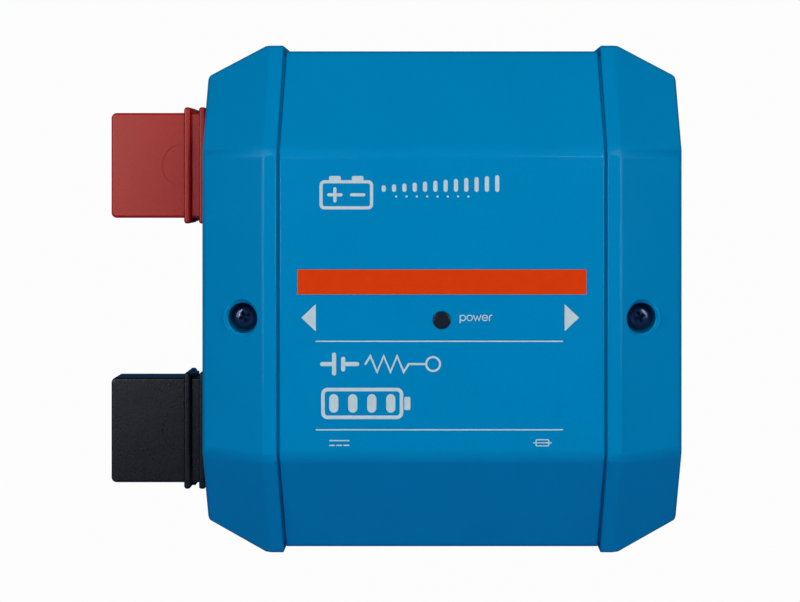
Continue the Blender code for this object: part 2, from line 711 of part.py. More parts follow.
def nut(name, x, line, foot):
    """An M8 hexagon nut."""
    made = hex_prism(name, M8_FLATS, (x, line, foot), M8_NUT_HEIGHT, M8_RADIUS + GAP)
    return finish(made, "zinc_steel")


def washer(name, x, line, foot):
    """An M8 plain washer."""
    made = tube(name, M8_WASHER_RADIUS, M8_RADIUS + GAP, (x, line, foot), M8_WASHER_THICKNESS, 24)
    return finish(made, "zinc_steel")


def clamp_set(name, x, line, stack_top):
    """A stud with its washer and nut on top of what it clamps."""
    washer_foot = stack_top + GAP
    nut_foot = washer_foot + M8_WASHER_THICKNESS + GAP
    stud("stud_" + name, x, line, nut_foot + M8_NUT_HEIGHT + 1.5)
    washer("washer_" + name, x, line, washer_foot)
    nut("nut_" + name, x, line, nut_foot)


def clamp_sets():
    """All six bolted joints on the bars."""
    bar_top = BAR_UNDERSIDE + BAR_THICKNESS
    blade_top = bar_top + GAP + FUSE_BLADE_THICKNESS
    block_top = bar_top + GAP + SHUNT_BLOCK_HEIGHT
    for side, label in ((-1, "left"), (1, "right")):
        clamp_set("fuse_" + label, side * FUSE_STUD_X, BAR_Z, blade_top)
        clamp_set("shunt_" + label, side * SHUNT_BOLT_X, -BAR_Z, block_top)
    out_x = TAB_HOLE_X + UNIT_PITCH
    clamp_set("output_positive", out_x, BAR_Z, bar_top)
    clamp_set("output_negative", out_x, -BAR_Z, bar_top)


def bar_support(name, x, line):
    """A waisted insulator that carries a bar."""
    height = BAR_UNDERSIDE - FLOOR - 2.0 * GAP
    profile = [(8.5, 0.0), (8.5, 5.0), (6.5, 8.0), (6.5, height - 8.0),
               (8.5, height - 5.0), (8.5, height)]
    made = turned(name, profile, (x, line, FLOOR + GAP), segments=20)
    return finish(made, "black_plastic")


# ------------------------------------------------------------ circuit board

def circuit_board():
    """The board over the shunt, with clearance holes for its pins and screws."""
    x_range = (-BOARD_HALF_WIDTH, BOARD_HALF_WIDTH)
    h_range = (BOARD_BACK, BOARD_BACK + BOARD_THICKNESS)
    board = box("circuit_board", x_range, (BOARD_LOW_Z, BOARD_HIGH_Z), h_range)
    through = (BOARD_BACK - OVERSHOOT, BOARD_BACK + OVERSHOOT)
    for side in BOTH_SIDES:
        for x, z in ((BOARD_POST_X, BOARD_POST_Z), (STANDOFF_X, STANDOFF_Z)):
            drill(board, BOARD_HOLE_RADIUS, (side * x, z, 0.0), through, segments=16)
    return finish(board, "green_board")


def board_standoff(name, side):
    """A brass pillar that carries the board and senses the shunt's voltage."""
    foot = BAR_UNDERSIDE + BAR_THICKNESS + 2.0 * GAP + SHUNT_BLOCK_HEIGHT
    length = BOARD_BACK - GAP - foot
    profile = [(3.0, 0.0), (3.0, length), (BOARD_PIN_RADIUS, length),
               (BOARD_PIN_RADIUS, length + 3.2)]
    made = turned(name, profile, (side * STANDOFF_X, STANDOFF_Z, foot), segments=16)
    return finish(made, "brass")


def on_board(name, centre_x, z_range, width, height, material_name, rounding=0.0):
    """A box-shaped component on the front of the board."""
    foot = BOARD_BACK + BOARD_THICKNESS + GAP
    x_range = (centre_x - width / 2.0, centre_x + width / 2.0)
    made = box(name, x_range, z_range, (foot, foot + height), rounding, 1)
    return finish(made, material_name)


def data_jack(name, centre_x):
    """An eight-way data socket whose mouth faces down."""
    jack = on_board(name, centre_x, (-58.5, -42.5), 16.0, 13.2, "zinc_steel")
    foot = BOARD_BACK + BOARD_THICKNESS + GAP
    mouth_x = (centre_x - 5.9, centre_x + 5.9)
    notch_x = (centre_x - 3.0, centre_x + 3.0)
    cut(jack, box(name + "_mouth", mouth_x, (-62.0, -46.0), (foot + 3.6, foot + 10.4)))
    cut(jack, box(name + "_notch", notch_x, (-62.0, -46.5), (foot + 1.6, foot + 4.0)))
    return jack


def terminal_header():
    """The fixed half of the plug-in terminal, a box open at the bottom."""
    z_range = (TERMINAL_Z, TERMINAL_Z + 12.0)
    header = on_board("terminal_header", TERMINAL_X, z_range, 21.0, 8.4, "connector_nylon")
    foot = BOARD_BACK + BOARD_THICKNESS + GAP
    mouth_x = (TERMINAL_X - 9.6, TERMINAL_X + 9.6)
    mouth_z = (TERMINAL_Z - OVERSHOOT, TERMINAL_Z + 10.0)
    cut(header, box("header_mouth", mouth_x, mouth_z, (foot + 1.0, foot + 7.4)))
    return header


def terminal_plug():
    """The pull-out half of the terminal, with wire entries and screw wells."""
    foot = BOARD_BACK + BOARD_THICKNESS + GAP
    x_range = (TERMINAL_X - 9.2, TERMINAL_X + 9.2)
    plug = box("terminal_plug", x_range, (TERMINAL_Z - 10.0, TERMINAL_Z - 0.4),
               (foot + 0.4, foot + 9.6))
    tongue_z = (TERMINAL_Z - 2.0, TERMINAL_Z + 8.6)
    join(plug, box("plug_tongue", x_range, tongue_z, (foot + 1.4, foot + 7.0)))
    for index in range(4):
        x = TERMINAL_X + (index - 1.5) * 4.6
        wire_z = (TERMINAL_Z - 15.0, TERMINAL_Z - 6.0)
        drill(plug, 1.3, (x, 0.0, foot + 3.8), wire_z, "z", 12)
        drill(plug, 1.5, (x, TERMINAL_Z - 5.6, 0.0), (foot + 7.6, foot + 12.0), segments=12)
    set_origin(plug, TERMINAL_X, TERMINAL_Z, foot + 4.2)
    return finish(plug, "connector_nylon")


def status_led():
    """The round lamp behind the window."""
    foot = BOARD_BACK + BOARD_THICKNESS + GAP
    profile = [(2.9, 0.0), (2.9, 1.0), (2.5, 1.0), (2.5, 6.1),
               (2.17, 7.35), (1.25, 8.27), (0.0, 8.6)]
    lamp = turned("status_led", profile, (LIGHT_X, LIGHT_Z, foot), segments=20)
    return finish(lamp, "lamp_lens")


def sense_wire():
    """The thin wire from the input side of the fuse to the board."""
    path = [(-46.0, 36.0, 37.4), (-46.0, 30.0, 37.6), (-45.5, 24.0, 42.0), (-44.0, 19.0, 50.0),
            (-40.0, 15.0, 58.0), (-34.0, 10.0, 63.5), (-30.0, 6.0, 63.0), (-29.5, 4.6, 59.2)]
    return finish(swept("sense_wire", path, 0.9), "red_plastic")


def cable_grommet():
    """The rubber ring in the bottom wall that data cables pass through."""
    outer = CABLE_HOLE_RADIUS + GROMMET_LIP
    neck = CABLE_HOLE_RADIUS - GAP
    outside = -PANEL_END - GAP
    inside = -TRAY_WALLS[1] + GAP
    profile = [
        (GROMMET_BORE, outside - 1.3), (outer - 0.6, outside - 1.3), (outer, outside - 0.8),
        (outer, outside), (neck, outside), (neck, inside), (outer, inside),
        (outer, inside + 1.6), (GROMMET_BORE, inside + 1.6)]
    ring = turned("cable_grommet", profile, (0.0, 0.0, CABLE_HOLE_H), "z", 24, ring=True)
    return finish(ring, "black_rubber")


# ----------------------------------------------------------------- assembly

def build_case():
    """Base tray, cover and everything that fastens or plugs into them."""
    base_tray()
    front_cover()
    led_light_pipe()
    cable_grommet()
    for side, label in ((-1, "left"), (1, "right")):
        cover_screw("cover_screw_" + label, side)
        screw_washer("screw_washer_" + label, side)
        threaded_insert("threaded_insert_" + label, side)
    bar_cap("red_bar_cap", BAR_Z, "red_plastic")
    bar_cap("black_bar_cap", -BAR_Z, "black_plastic")


def build_power_path():
    """Bars, fuse, shunt and their hardware."""
    busbar_left("positive_bar_left", BAR_Z, -FUSE_HALF_LENGTH - 1.0, -FUSE_STUD_X)
    busbar_right("positive_bar_right", BAR_Z, FUSE_HALF_LENGTH + 1.0, FUSE_STUD_X)
    busbar_left("negative_bar_left", -BAR_Z, -SHUNT_INNER_X, -SHUNT_BOLT_X)
    busbar_right("negative_bar_right", -BAR_Z, SHUNT_INNER_X, SHUNT_BOLT_X)
    fuse_body()
    for side, label in ((-1, "left"), (1, "right")):
        fuse_blade("fuse_blade_" + label, side)
        shunt_block("shunt_block_" + label, side)
        board_standoff("board_standoff_" + label, side)
        for line, end in ((BAR_Z, "upper"), (-BAR_Z, "lower")):
            support_x = -62.0 if side < 0 else 53.5
            bar_support("bar_support_{}_{}".format(end, label), support_x, line)
    for index, line in enumerate(shunt_blade_lines()):
        shunt_blade("shunt_blade_{}".format(index + 1), line)
    clamp_sets()


def build_electronics():
    """The board and what is soldered or plugged to it."""
    circuit_board()
    data_jack("data_jack_left", -24.0)
    data_jack("data_jack_right", -6.0)
    terminal_header()
    terminal_plug()
    on_board("alarm_relay", 30.0, (-24.0, -4.0), 15.0, 11.0, "relay_case", 0.6)
    on_board("controller_chip", -22.0, (-28.0, -18.0), 10.0, 1.6, "black_plastic")
    status_led()
    sense_wire()


def main():
    """Clear the scene and model the whole object."""
    for old in list(bpy.data.objects):
        bpy.data.objects.remove(old, do_unlink=True)
    build_case()
    build_power_path()
    build_electronics()


main()
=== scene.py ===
"""Looks for the wall-mounted battery monitor shunt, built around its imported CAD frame.

Sizes are millimetres in the case's own terms: x (right), z (up) and h (height above
the wall, towards the viewer). to_world() turns them into metres.
"""

import json
import math

import bmesh
import bpy
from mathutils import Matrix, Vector


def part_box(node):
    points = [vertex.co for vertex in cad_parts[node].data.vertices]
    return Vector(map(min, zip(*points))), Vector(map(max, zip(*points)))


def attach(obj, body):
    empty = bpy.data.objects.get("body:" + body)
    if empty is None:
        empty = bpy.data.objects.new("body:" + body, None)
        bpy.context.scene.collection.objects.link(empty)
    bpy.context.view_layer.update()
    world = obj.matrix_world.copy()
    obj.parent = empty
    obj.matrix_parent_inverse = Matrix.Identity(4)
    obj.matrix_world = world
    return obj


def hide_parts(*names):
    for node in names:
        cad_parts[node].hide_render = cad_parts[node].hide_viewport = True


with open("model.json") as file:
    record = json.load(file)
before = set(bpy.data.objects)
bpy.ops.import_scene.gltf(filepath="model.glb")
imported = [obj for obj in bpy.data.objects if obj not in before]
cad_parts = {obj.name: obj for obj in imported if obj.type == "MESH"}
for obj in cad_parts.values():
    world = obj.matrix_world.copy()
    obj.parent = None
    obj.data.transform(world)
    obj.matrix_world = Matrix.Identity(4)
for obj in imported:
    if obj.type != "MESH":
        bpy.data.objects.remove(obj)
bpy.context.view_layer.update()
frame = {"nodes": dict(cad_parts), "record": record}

MM = 0.001  # metres
WELD_REACH = 4e-6  # metres
GAP = 0.3
OVERSHOOT = 5.0
BOTH_SIDES = (-1, 1)
ALONG_Z = (0.0, 1.0, 0.0)

# Case: the same planes as the CAD model. Walls are (side, end, corner) distances, flats are
# half widths and half heights, and slopes and drafts are tangents.
CASE_DEPTH = 80.0
RIM = 30.0
FLOOR = 3.0
CASE_FLAT = (64.6, 55.6)
CASE_WALLS = (90.0, 95.6, 116.2)
WALL_DRAFT = 0.022
CHAMFER_NORMAL = (0.4472, 0.8944)
SIDE_SLOPE = 0.584
END_SLOPE = 0.677
CAVITY_TOP = 76.0
CAVITY_FLAT = (62.8, 54.0)
CAVITY_WALLS = (87.2, 89.7, 111.7)
LIP_WALLS = (86.7, 89.2, 111.2)
LIP_TOP = 33.0
TRAY_WALLS = (85.4, 87.9, 109.9)
PANEL_HALF_WIDTH = 58.7
PANEL_TOP = 79.2
PANEL_FLAT_Z = 55.0
PANEL_END = 93.5
PANEL_SLOPE = 0.707
GROOVE_DEPTH = 1.4
CHEEK_INNER = 59.5
BAR_Z = 50.4
SLOT_HALF_WIDTH = 19.5
SLOT_TOP = 45.2

# How far each kind of edge is rounded back, by the kinds of the two faces that meet there.
EDGE_ROUNDING = {
    ("front", "side_slope"): 0.8,
    ("end_slope", "front"): 3.4,
    ("corner_slope", "side_slope"): 3.4,
    ("corner_slope", "end_slope"): 0.8,
    ("end_slope", "end_wall"): 2.2,
    ("corner_slope", "end_wall"): 2.2,
    ("corner_slope", "corner_wall"): 1.8,
    ("side_slope", "side_wall"): 2.6,
    ("corner_slope", "side_wall"): 2.0,
    ("corner_wall", "end_wall"): 1.4,
    ("corner_wall", "side_wall"): 2.2,
}
INNER_EDGES = ("cheek_wall", "panel_side")
INNER_EDGE_ROUNDING = 0.8
ROUNDING_STEPS = 7

# Cover screws and status light.
SCREW_SEAT = 64.5
SCREW_TURN = math.radians(22.0)
SCREW_HOLE_RADIUS = 2.8
SCREW_HEAD_HEIGHT = 3.2
SCREW_PITCH = 0.8
SCREW_THREADS = 22
RECESS_RADIUS = 5.6
TUBE_RADIUS = 7.3
TUBE_FOOT = 60.5
TUBE_TOP = 72.5
POST_TOP = 60.2
INSERT_HOLE_RADIUS = 4.1
INSERT_FOOT = 47.7
LIGHT_HOLE_RADIUS = 3.2
LIGHT_RADIUS = 3.05
BOARD_POST = (40.0, 4.0)

# Wall mounting and cable holes in the tray.
MOUNT_X = 55.0
MOUNT_Z = 80.0
MOUNT_HOLE_RADIUS = 2.75
CABLE_HOLE_RADIUS = 8.5
CABLE_HOLE_H = 16.0

# The push-on caps. Ribs: x range, half width, half depth and edge rounding.
CAP_DEPTHS = (31.5, 45.5)
CAP_HALF = 20.0
CAP_RING_CENTRE = -98.6
CAP_RIBS = (
    ((-98.0, -95.4), 22.1, 9.0, 1.1), ((-95.9, -94.0), 21.4, 4.6, 0.4),
    ((-94.7, -91.9), 19.6, 6.7, 0.6), ((-92.3, -89.8), 22.1, 9.0, 0.9))

PRINT_HEIGHTS = (PANEL_TOP - 0.06, PANEL_TOP + 0.06)

# Hardware and board detail.
M8_RADIUS = 4.0
M8_THREAD_DEPTH = 0.55
M8_PITCH = 1.25
M8_HEAD_HEIGHT = 5.3
TRACK_HEIGHT = 0.05
PART_SPACING = 4.2
PLUG_PITCH = 4.6
CAN_X = -41.0
CAN_SPOTS = (-12.0, -22.5)
BOARD_OUTLINES = (
    "alarm_relay", "terminal_header", "data_jack_left", "data_jack_right", "controller_chip")

# Camera and light. Fill and bounce are cool, which deepens the blue of shaded faces.
WHITE = (1.0, 1.0, 1.0, 1.0)
BACKDROP_STRENGTH = 0.98
FILL_STRENGTH = 0.085
COOL_FILL = (0.15, 0.75, 1.8, 1.0)
FLOOR_BOUNCE = (0.08, 0.22, 0.60, 1.0)
FLOOR_SIZE = 12.0
FLOOR_LEVEL = -1.0
CAMERA_SPOT = (0.0, -0.680, 0.0466)
CAMERA_LENS = 75.0
CAMERA_SHIFT = (-0.0525, -0.157)
CAMERA_SPOT_REACH = 0.02


def to_world(x, z, h):
    """Case coordinates in millimetres to world coordinates in metres."""
    return Vector((x * MM, -h * MM, z * MM))


def case_ranges(node):
    """The x, z and h ranges of a CAD node, in millimetres."""
    low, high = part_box(node)
    x_range = (low.x / MM, high.x / MM)
    z_range = (low.z / MM, high.z / MM)
    h_range = (-high.y / MM, -low.y / MM)
    return x_range, z_range, h_range


def middle(low_high):
    """The middle of a range."""
    return (low_high[0] + low_high[1]) / 2.0


def wall_spot(node):
    """The point on the wall behind the middle of a CAD node."""
    x_range, z_range, _ = case_ranges(node)
    return (middle(x_range), middle(z_range), 0.0)


def case_heights(node):
    """The lowest and highest h of a CAD node."""
    return case_ranges(node)[2]


# ---------------------------------------------------------------- materials

COAT_ROUGHNESS = 0.08
GRAIN_DEPTH = 0.0004  # metres
BRUSHED = (1.0, 14.0, 14.0)


def link(tree, source, output, target, socket):
    """Connect two shader nodes."""
    tree.links.new(source.outputs[output], target.inputs[socket])


def preset(node, values):
    """Set a shader node's inputs by name."""
    for name, value in values.items():
        node.inputs[name].default_value = value


def noise(tree, coordinates, scale, detail, stretch):
    """A noise texture over the object's own space."""
    mapping = tree.nodes.new("ShaderNodeMapping")
    preset(mapping, {"Scale": stretch})
    link(tree, coordinates, "Object", mapping, "Vector")
    texture = tree.nodes.new("ShaderNodeTexNoise")
    preset(texture, {"Scale": scale, "Detail": detail})
    link(tree, mapping, "Vector", texture, "Vector")
    return texture


def ramp(tree, source, output, low, high):
    """Map a noise's middle range to a range of values."""
    spread = tree.nodes.new("ShaderNodeMapRange")
    preset(spread, {"From Min": 0.3, "From Max": 0.7, "To Min": low, "To Max": high})
    link(tree, source, output, spread, "Value")
    return spread


def shaded(colour, factor):
    """A colour made lighter or darker."""
    return tuple(min(channel * factor, 1.0) for channel in colour) + (1.0,)


def surface(name, colour, roughness, metallic=0.0, mottle=0.05, mottle_scale=60.0,
            grain=1400.0, bump=0.12, stretch=(1.0, 1.0, 1.0), tint=(1.0, 1.0, 1.0),
            specular=0.5, coat=0.0):
    """A Principled material with mottled colour, uneven gloss and a fine grain."""
    made = bpy.data.materials.new(name)
    made.use_nodes = True
    tree = made.node_tree
    shader = tree.nodes["Principled BSDF"]
    coordinates = tree.nodes.new("ShaderNodeTexCoord")

    broad = noise(tree, coordinates, mottle_scale, 4.0, stretch)
    blend = tree.nodes.new("ShaderNodeMix")
    blend.data_type = "RGBA"
    preset(blend, {"A": shaded(colour, 1.0 - mottle), "B": shaded(colour, 1.0 + mottle)})
    spread = ramp(tree, broad, "Fac", 0.0, 1.0)
    link(tree, spread, "Result", blend, "Factor")
    tree.links.new(blend.outputs["Result"], shader.inputs["Base Color"])

    fine = noise(tree, coordinates, grain, 2.0, stretch)
    gloss = ramp(tree, fine, "Fac", roughness * 0.85, roughness * 1.15)
    link(tree, gloss, "Result", shader, "Roughness")
    relief = tree.nodes.new("ShaderNodeBump")
    preset(relief, {"Strength": bump, "Distance": GRAIN_DEPTH})
    link(tree, fine, "Fac", relief, "Height")
    link(tree, relief, "Normal", shader, "Normal")

    link(tree, relief, "Normal", shader, "Coat Normal")
    preset(shader, {
        "Metallic": metallic, "Specular IOR Level": specular, "Specular Tint": tint + (1.0,),
        "Coat Weight": coat, "Coat Roughness": COAT_ROUGHNESS})
    return made


MATERIALS = {
    "blue_abs": surface(
        "blue_abs", (0.0, 0.203, 0.411), 0.42, mottle=0.02, mottle_scale=40.0,
        grain=1900.0, bump=0.18, tint=(0.0, 0.5, 1.0), specular=0.3, coat=0.16),
    "red_plastic": surface(
        "red_plastic", (0.33, 0.004, 0.002), 0.30, mottle=0.04, grain=1600.0, bump=0.09,
        tint=(1.0, 0.9, 0.8), specular=0.45),
    "black_plastic": surface(
        "black_plastic", (0.004, 0.004, 0.005), 0.30, mottle=0.1, grain=1500.0, bump=0.1,
        specular=0.41),
    "black_rubber": surface(
        "black_rubber", (0.010, 0.010, 0.011), 0.75, mottle=0.15, grain=900.0, bump=0.2),
    "clear_plastic": surface(
        "clear_plastic", (0.012, 0.012, 0.014), 0.12, mottle=0.05, bump=0.02, coat=0.3),
    "tinned_copper": surface(
        "tinned_copper", (0.80, 0.79, 0.76), 0.38, 1.0, 0.08, 90.0, 500.0, 0.06, BRUSHED),
    "brass": surface("brass", (0.62, 0.42, 0.16), 0.34, 1.0, 0.07, 90.0, 600.0, 0.06, BRUSHED),
    "manganin": surface(
        "manganin", (0.48, 0.27, 0.17), 0.42, 1.0, 0.08, 80.0, 700.0, 0.06, BRUSHED),
    "zinc_steel": surface("zinc_steel", (0.70, 0.71, 0.73), 0.34, 1.0, 0.08, 150.0, 900.0, 0.02),
    # Dark steel for the cover screws. The navy blue in its colour is painted reflection of the blue
    # case walls around the heads.
    "dark_steel": surface(
        "dark_steel", (0.012, 0.03, 0.09), 0.2, 0.5, 0.15, 300.0, 1500.0, 0.05, coat=0.6),
    "fuse_ceramic": surface(
        "fuse_ceramic", (0.71, 0.68, 0.60), 0.62, mottle=0.04, grain=1100.0, bump=0.12),
    "green_board": surface(
        "green_board", (0.008, 0.11, 0.045), 0.30, mottle=0.12, mottle_scale=220.0,
        grain=2200.0, bump=0.05, coat=0.3),
    "connector_nylon": surface(
        "connector_nylon", (0.02, 0.20, 0.08), 0.46, mottle=0.05, grain=1500.0, bump=0.08),
    "relay_case": surface("relay_case", (0.012, 0.045, 0.24), 0.32, mottle=0.04, bump=0.04),
    "lamp_lens": surface("lamp_lens", (0.08, 0.50, 0.14), 0.15, mottle=0.03, bump=0.02, coat=0.5),
    "board_track": surface(
        "board_track", (0.02, 0.19, 0.07), 0.28, mottle=0.08, mottle_scale=260.0, bump=0.05,
        coat=0.3),
    "tan_ceramic": surface(
        "tan_ceramic", (0.42, 0.26, 0.13), 0.5, mottle=0.1, mottle_scale=700.0, bump=0.08),
    "white_ink": surface(
        "white_ink", (0.475, 0.57, 0.555), 0.5, mottle=0.05, mottle_scale=500.0, grain=2500.0,
        bump=0.12, specular=0.3),
    "orange_ink": surface(
        "orange_ink", (0.66, 0.036, 0.0), 0.48, mottle=0.03, mottle_scale=300.0,
        grain=2500.0, bump=0.12, tint=(1.0, 0.45, 0.2), specular=0.3),
}


# ------------------------------------------------------------ mesh builders

def object_from(mesh_data, name):
    """Turn a bmesh into an object with outward faces."""
    bmesh.ops.recalc_face_normals(mesh_data, faces=mesh_data.faces)
    mesh = bpy.data.meshes.new(name)
    mesh_data.to_mesh(mesh)
    mesh_data.free()
    made = bpy.data.objects.new(name, mesh)
    bpy.context.scene.collection.objects.link(made)
    return made


def bake(made):
    """Replace an object's mesh by what its modifiers make of it."""
    depsgraph = bpy.context.evaluated_depsgraph_get()
    baked = bpy.data.meshes.new_from_object(made.evaluated_get(depsgraph))
    made.modifiers.clear()
    made.data = baked
    return made


def combine(target, other, operation):
    """Join another solid to the target, or cut it away, at once."""
    modifier = target.modifiers.new(operation, "BOOLEAN")
    modifier.operation = operation
    modifier.solver = "EXACT"
    modifier.object = other
    bake(target)
    bpy.data.objects.remove(other, do_unlink=True)
    return target


def cut(target, other):
    """Take a solid away from the target."""
    return combine(target, other, "DIFFERENCE")


def join(target, other):
    """Add a solid to the target."""
    return combine(target, other, "UNION")


def slice_off(mesh_data, owner, index, point, normal):
    """Cut a closed solid by a plane and fill the cut with a face that carries an index."""
    whole = list(mesh_data.verts) + list(mesh_data.edges) + list(mesh_data.faces)
    bmesh.ops.bisect_plane(
        mesh_data, geom=whole, dist=1e-7, plane_co=point, plane_no=normal, clear_outer=True)
    open_edges = [edge for edge in mesh_data.edges if edge.is_boundary]
    filled = bmesh.ops.holes_fill(mesh_data, edges=open_edges)
    for face in filled["faces"]:
        face[owner] = index


def fillet_planes(first, second):
    """(point, normal) planes that round the edge between two (kind, point, normal) faces."""
    pair = tuple(sorted((first[0], second[0])))
    width = EDGE_ROUNDING.get(pair, 0.0)
    if (pair[0] in INNER_EDGES or pair[1] in INNER_EDGES) and "back" not in pair:
        width = INNER_EDGE_ROUNDING
    if not width:
        return []
    start, end = (to_world(*face[2]).normalized() for face in (first, second))
    radius = width * MM / math.tan(start.angle(end) / 2.0)
    start_reach = start.dot(to_world(*first[1])) - radius
    end_reach = end.dot(to_world(*second[1])) - radius
    lean = start.dot(end)
    along_start = (start_reach - lean * end_reach) / (1.0 - lean * lean)
    along_end = (end_reach - lean * start_reach) / (1.0 - lean * lean)
    axis = start * along_start + end * along_end
    planes = []
    for step in range(1, ROUNDING_STEPS + 1):
        normal = start.slerp(end, step / (ROUNDING_STEPS + 1.0))
        planes.append((axis + normal * radius, normal))
    return planes


def plane_solid(name, planes):
    """The solid behind some (kind, point, outward normal) planes, edges rounded by kind."""
    mesh_data = bmesh.new()
    bmesh.ops.create_cube(mesh_data, size=4.0 * CASE_WALLS[2] * MM)
    owner = mesh_data.faces.layers.int.new("owner")
    for index, (_, point, normal) in enumerate(planes):
        slice_off(mesh_data, owner, index, to_world(*point), to_world(*normal).normalized())
    meetings = set()
    for edge in mesh_data.edges:
        meetings.add(tuple(sorted(face[owner] for face in edge.link_faces)))
    for first, second in sorted(meetings):
        for point, normal in fillet_planes(planes[first], planes[second]):
            slice_off(mesh_data, owner, len(planes), point, normal)
    bmesh.ops.dissolve_degenerate(mesh_data, dist=1e-6, edges=mesh_data.edges)
    return object_from(mesh_data, name)


def push_out(mesh_data, faces, shift):
    """Thicken flat faces into a solid."""
    pushed = bmesh.ops.extrude_face_region(mesh_data, geom=faces)
    moved = [item for item in pushed["geom"] if isinstance(item, bmesh.types.BMVert)]
    bmesh.ops.translate(mesh_data, verts=moved, vec=shift)


def plate(name, outline, h_range, rounding=0.0, steps=4):
    """Push a closed (x, z) outline through a range of heights and round its rims."""
    mesh_data = bmesh.new()
    row = [mesh_data.verts.new(to_world(x, z, h_range[0])) for x, z in outline]
    push_out(mesh_data, [mesh_data.faces.new(row)], to_world(0.0, 0.0, h_range[1] - h_range[0]))
    if rounding:
        rims = [edge for edge in mesh_data.edges
                if abs(edge.verts[0].co.y - edge.verts[1].co.y) < 1e-7]
        bmesh.ops.bevel(
            mesh_data, geom=rims, offset=rounding * MM, segments=steps, profile=0.5,
            affect="EDGES")
    return object_from(mesh_data, name)


def arc(centre, radius, start, end, steps):
    """Points along a circle or ellipse, with the angles in degrees."""
    radius_x, radius_z = radius if isinstance(radius, tuple) else (radius, radius)
    points = []
    for step in range(steps + 1):
        angle = math.radians(start + (end - start) * step / steps)
        points.append((centre[0] + radius_x * math.cos(angle),
                       centre[1] + radius_z * math.sin(angle)))
    return points


def rounded_rectangle(x_range, z_range, radius, steps=5):
    """The outline of a rectangle with round corners."""
    low_x, high_x = sorted(x_range)
    low_z, high_z = sorted(z_range)
    corners = (
        ((high_x - radius, high_z - radius), 0), ((low_x + radius, high_z - radius), 90),
        ((low_x + radius, low_z + radius), 180), ((high_x - radius, low_z + radius), 270))
    points = []
    for corner, start in corners:
        points += arc(corner, radius, start, start + 90, steps)
    return points


def box(name, x_range, z_range, h_range):
    """A sharp box, for cutting."""
    low_x, high_x = sorted(x_range)
    low_z, high_z = sorted(z_range)
    outline = [(low_x, low_z), (high_x, low_z), (high_x, high_z), (low_x, high_z)]
    return plate(name, outline, sorted(h_range))


def turned(name, profile, centre, axis=(0.0, 0.0, 1.0), segments=48):
    """Revolve (radius, position along the axis) points about an axis through centre."""
    axis = to_world(*axis).normalized()
    side = axis.orthogonal().normalized()
    across = axis.cross(side)
    origin = to_world(*centre)
    mesh_data = bmesh.new()
    rows = []
    for radius, along in profile:
        foot = origin + axis * along * MM
        row = []
        for step in range(segments):
            angle = 2.0 * math.pi * step / segments
            spoke = side * math.cos(angle) + across * math.sin(angle)
            row.append(mesh_data.verts.new(foot + spoke * radius * MM))
        rows.append(row)
    for lower, upper in zip(rows, rows[1:]):
        for step in range(segments):
            following = (step + 1) % segments
            mesh_data.faces.new((lower[step], lower[following], upper[following], upper[step]))
    mesh_data.faces.new(rows[0])
    mesh_data.faces.new(rows[-1])
    bmesh.ops.remove_doubles(mesh_data, verts=mesh_data.verts, dist=1e-7)
    return object_from(mesh_data, name)


def drill(target, radius, centre, depth_range, axis=(0.0, 0.0, 1.0), rim=0.0):
    """Cut a round hole along an axis; a rim widens its outer end."""
    low, high = depth_range
    profile = [(radius, low), (radius, high)]
    if rim:
        profile = [(radius, low), (radius, high - rim), (radius + 2.0 * rim, high + rim)]
    return cut(target, turned("drill", profile, centre, axis))


def weld(made):
    """Merge points that lie on one another and drop slivers without area."""
    mesh_data = bmesh.new()
    mesh_data.from_mesh(made.data)
    bmesh.ops.remove_doubles(mesh_data, verts=mesh_data.verts, dist=WELD_REACH)
    bmesh.ops.dissolve_degenerate(mesh_data, edges=mesh_data.edges, dist=WELD_REACH)
    mesh_data.to_mesh(made.data)
    mesh_data.free()
    return made


def smooth(made, angle=38.0):
    """Shade smooth with crisp edges, and let large faces keep flat normals."""
    made.data.shade_smooth()
    made.data.set_sharp_from_angle(angle=math.radians(angle))
    weighted = made.modifiers.new("weighted", "WEIGHTED_NORMAL")
    weighted.keep_sharp = True
    weighted.weight = 80
    return made


def finish_piece(made, body, material, node=None):
    """Give a piece its material, its body and the CAD node it stands for."""
    made.data.materials.clear()
    made.data.materials.append(MATERIALS[material])
    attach(made, body)
    if node:
        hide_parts(node)
    return made


# --------------------------------------------------------------- case shape

def level_planes(foot, top):
    """A back plane and a front plane, both level."""
    return [("back", (0.0, 0.0, foot), (0.0, 0.0, -1.0)),
            ("front", (0.0, 0.0, top), (0.0, 0.0, 1.0))]


def wall_planes(walls, sides=BOTH_SIDES):
    """The drafted side, end and corner walls of the case outline."""
    wall_x, wall_z, wall_corner = walls
    corner_x, corner_z = CHAMFER_NORMAL
    planes = []
    for side in sides:
        planes.append(("side_wall", (side * wall_x, 0.0, 0.0), (side, 0.0, WALL_DRAFT)))
    for end in BOTH_SIDES:
        planes.append(("end_wall", (0.0, end * wall_z, 0.0), (0.0, end, 0.0)))
        for side in sides:
            foot = (side * corner_x * wall_corner, end * corner_z * wall_corner, 0.0)
            normal = (side * corner_x, end * corner_z, WALL_DRAFT)
            planes.append(("corner_wall", foot, normal))
    return planes


def slope_planes(top, flat, sides=BOTH_SIDES):
    """The slopes that fall away around the level front."""
    flat_x, flat_z = flat
    planes = []
    for side in sides:
        planes.append(("side_slope", (side * flat_x, 0.0, top), (side * SIDE_SLOPE, 0.0, 1.0)))
    for end in BOTH_SIDES:
        planes.append(("end_slope", (0.0, end * flat_z, top), (0.0, end * END_SLOPE, 1.0)))
        for side in sides:
            corner = (side * flat_x, end * flat_z, top)
            normal = (side * SIDE_SLOPE, end * END_SLOPE, 1.0)
            planes.append(("corner_slope", corner, normal))
    return planes


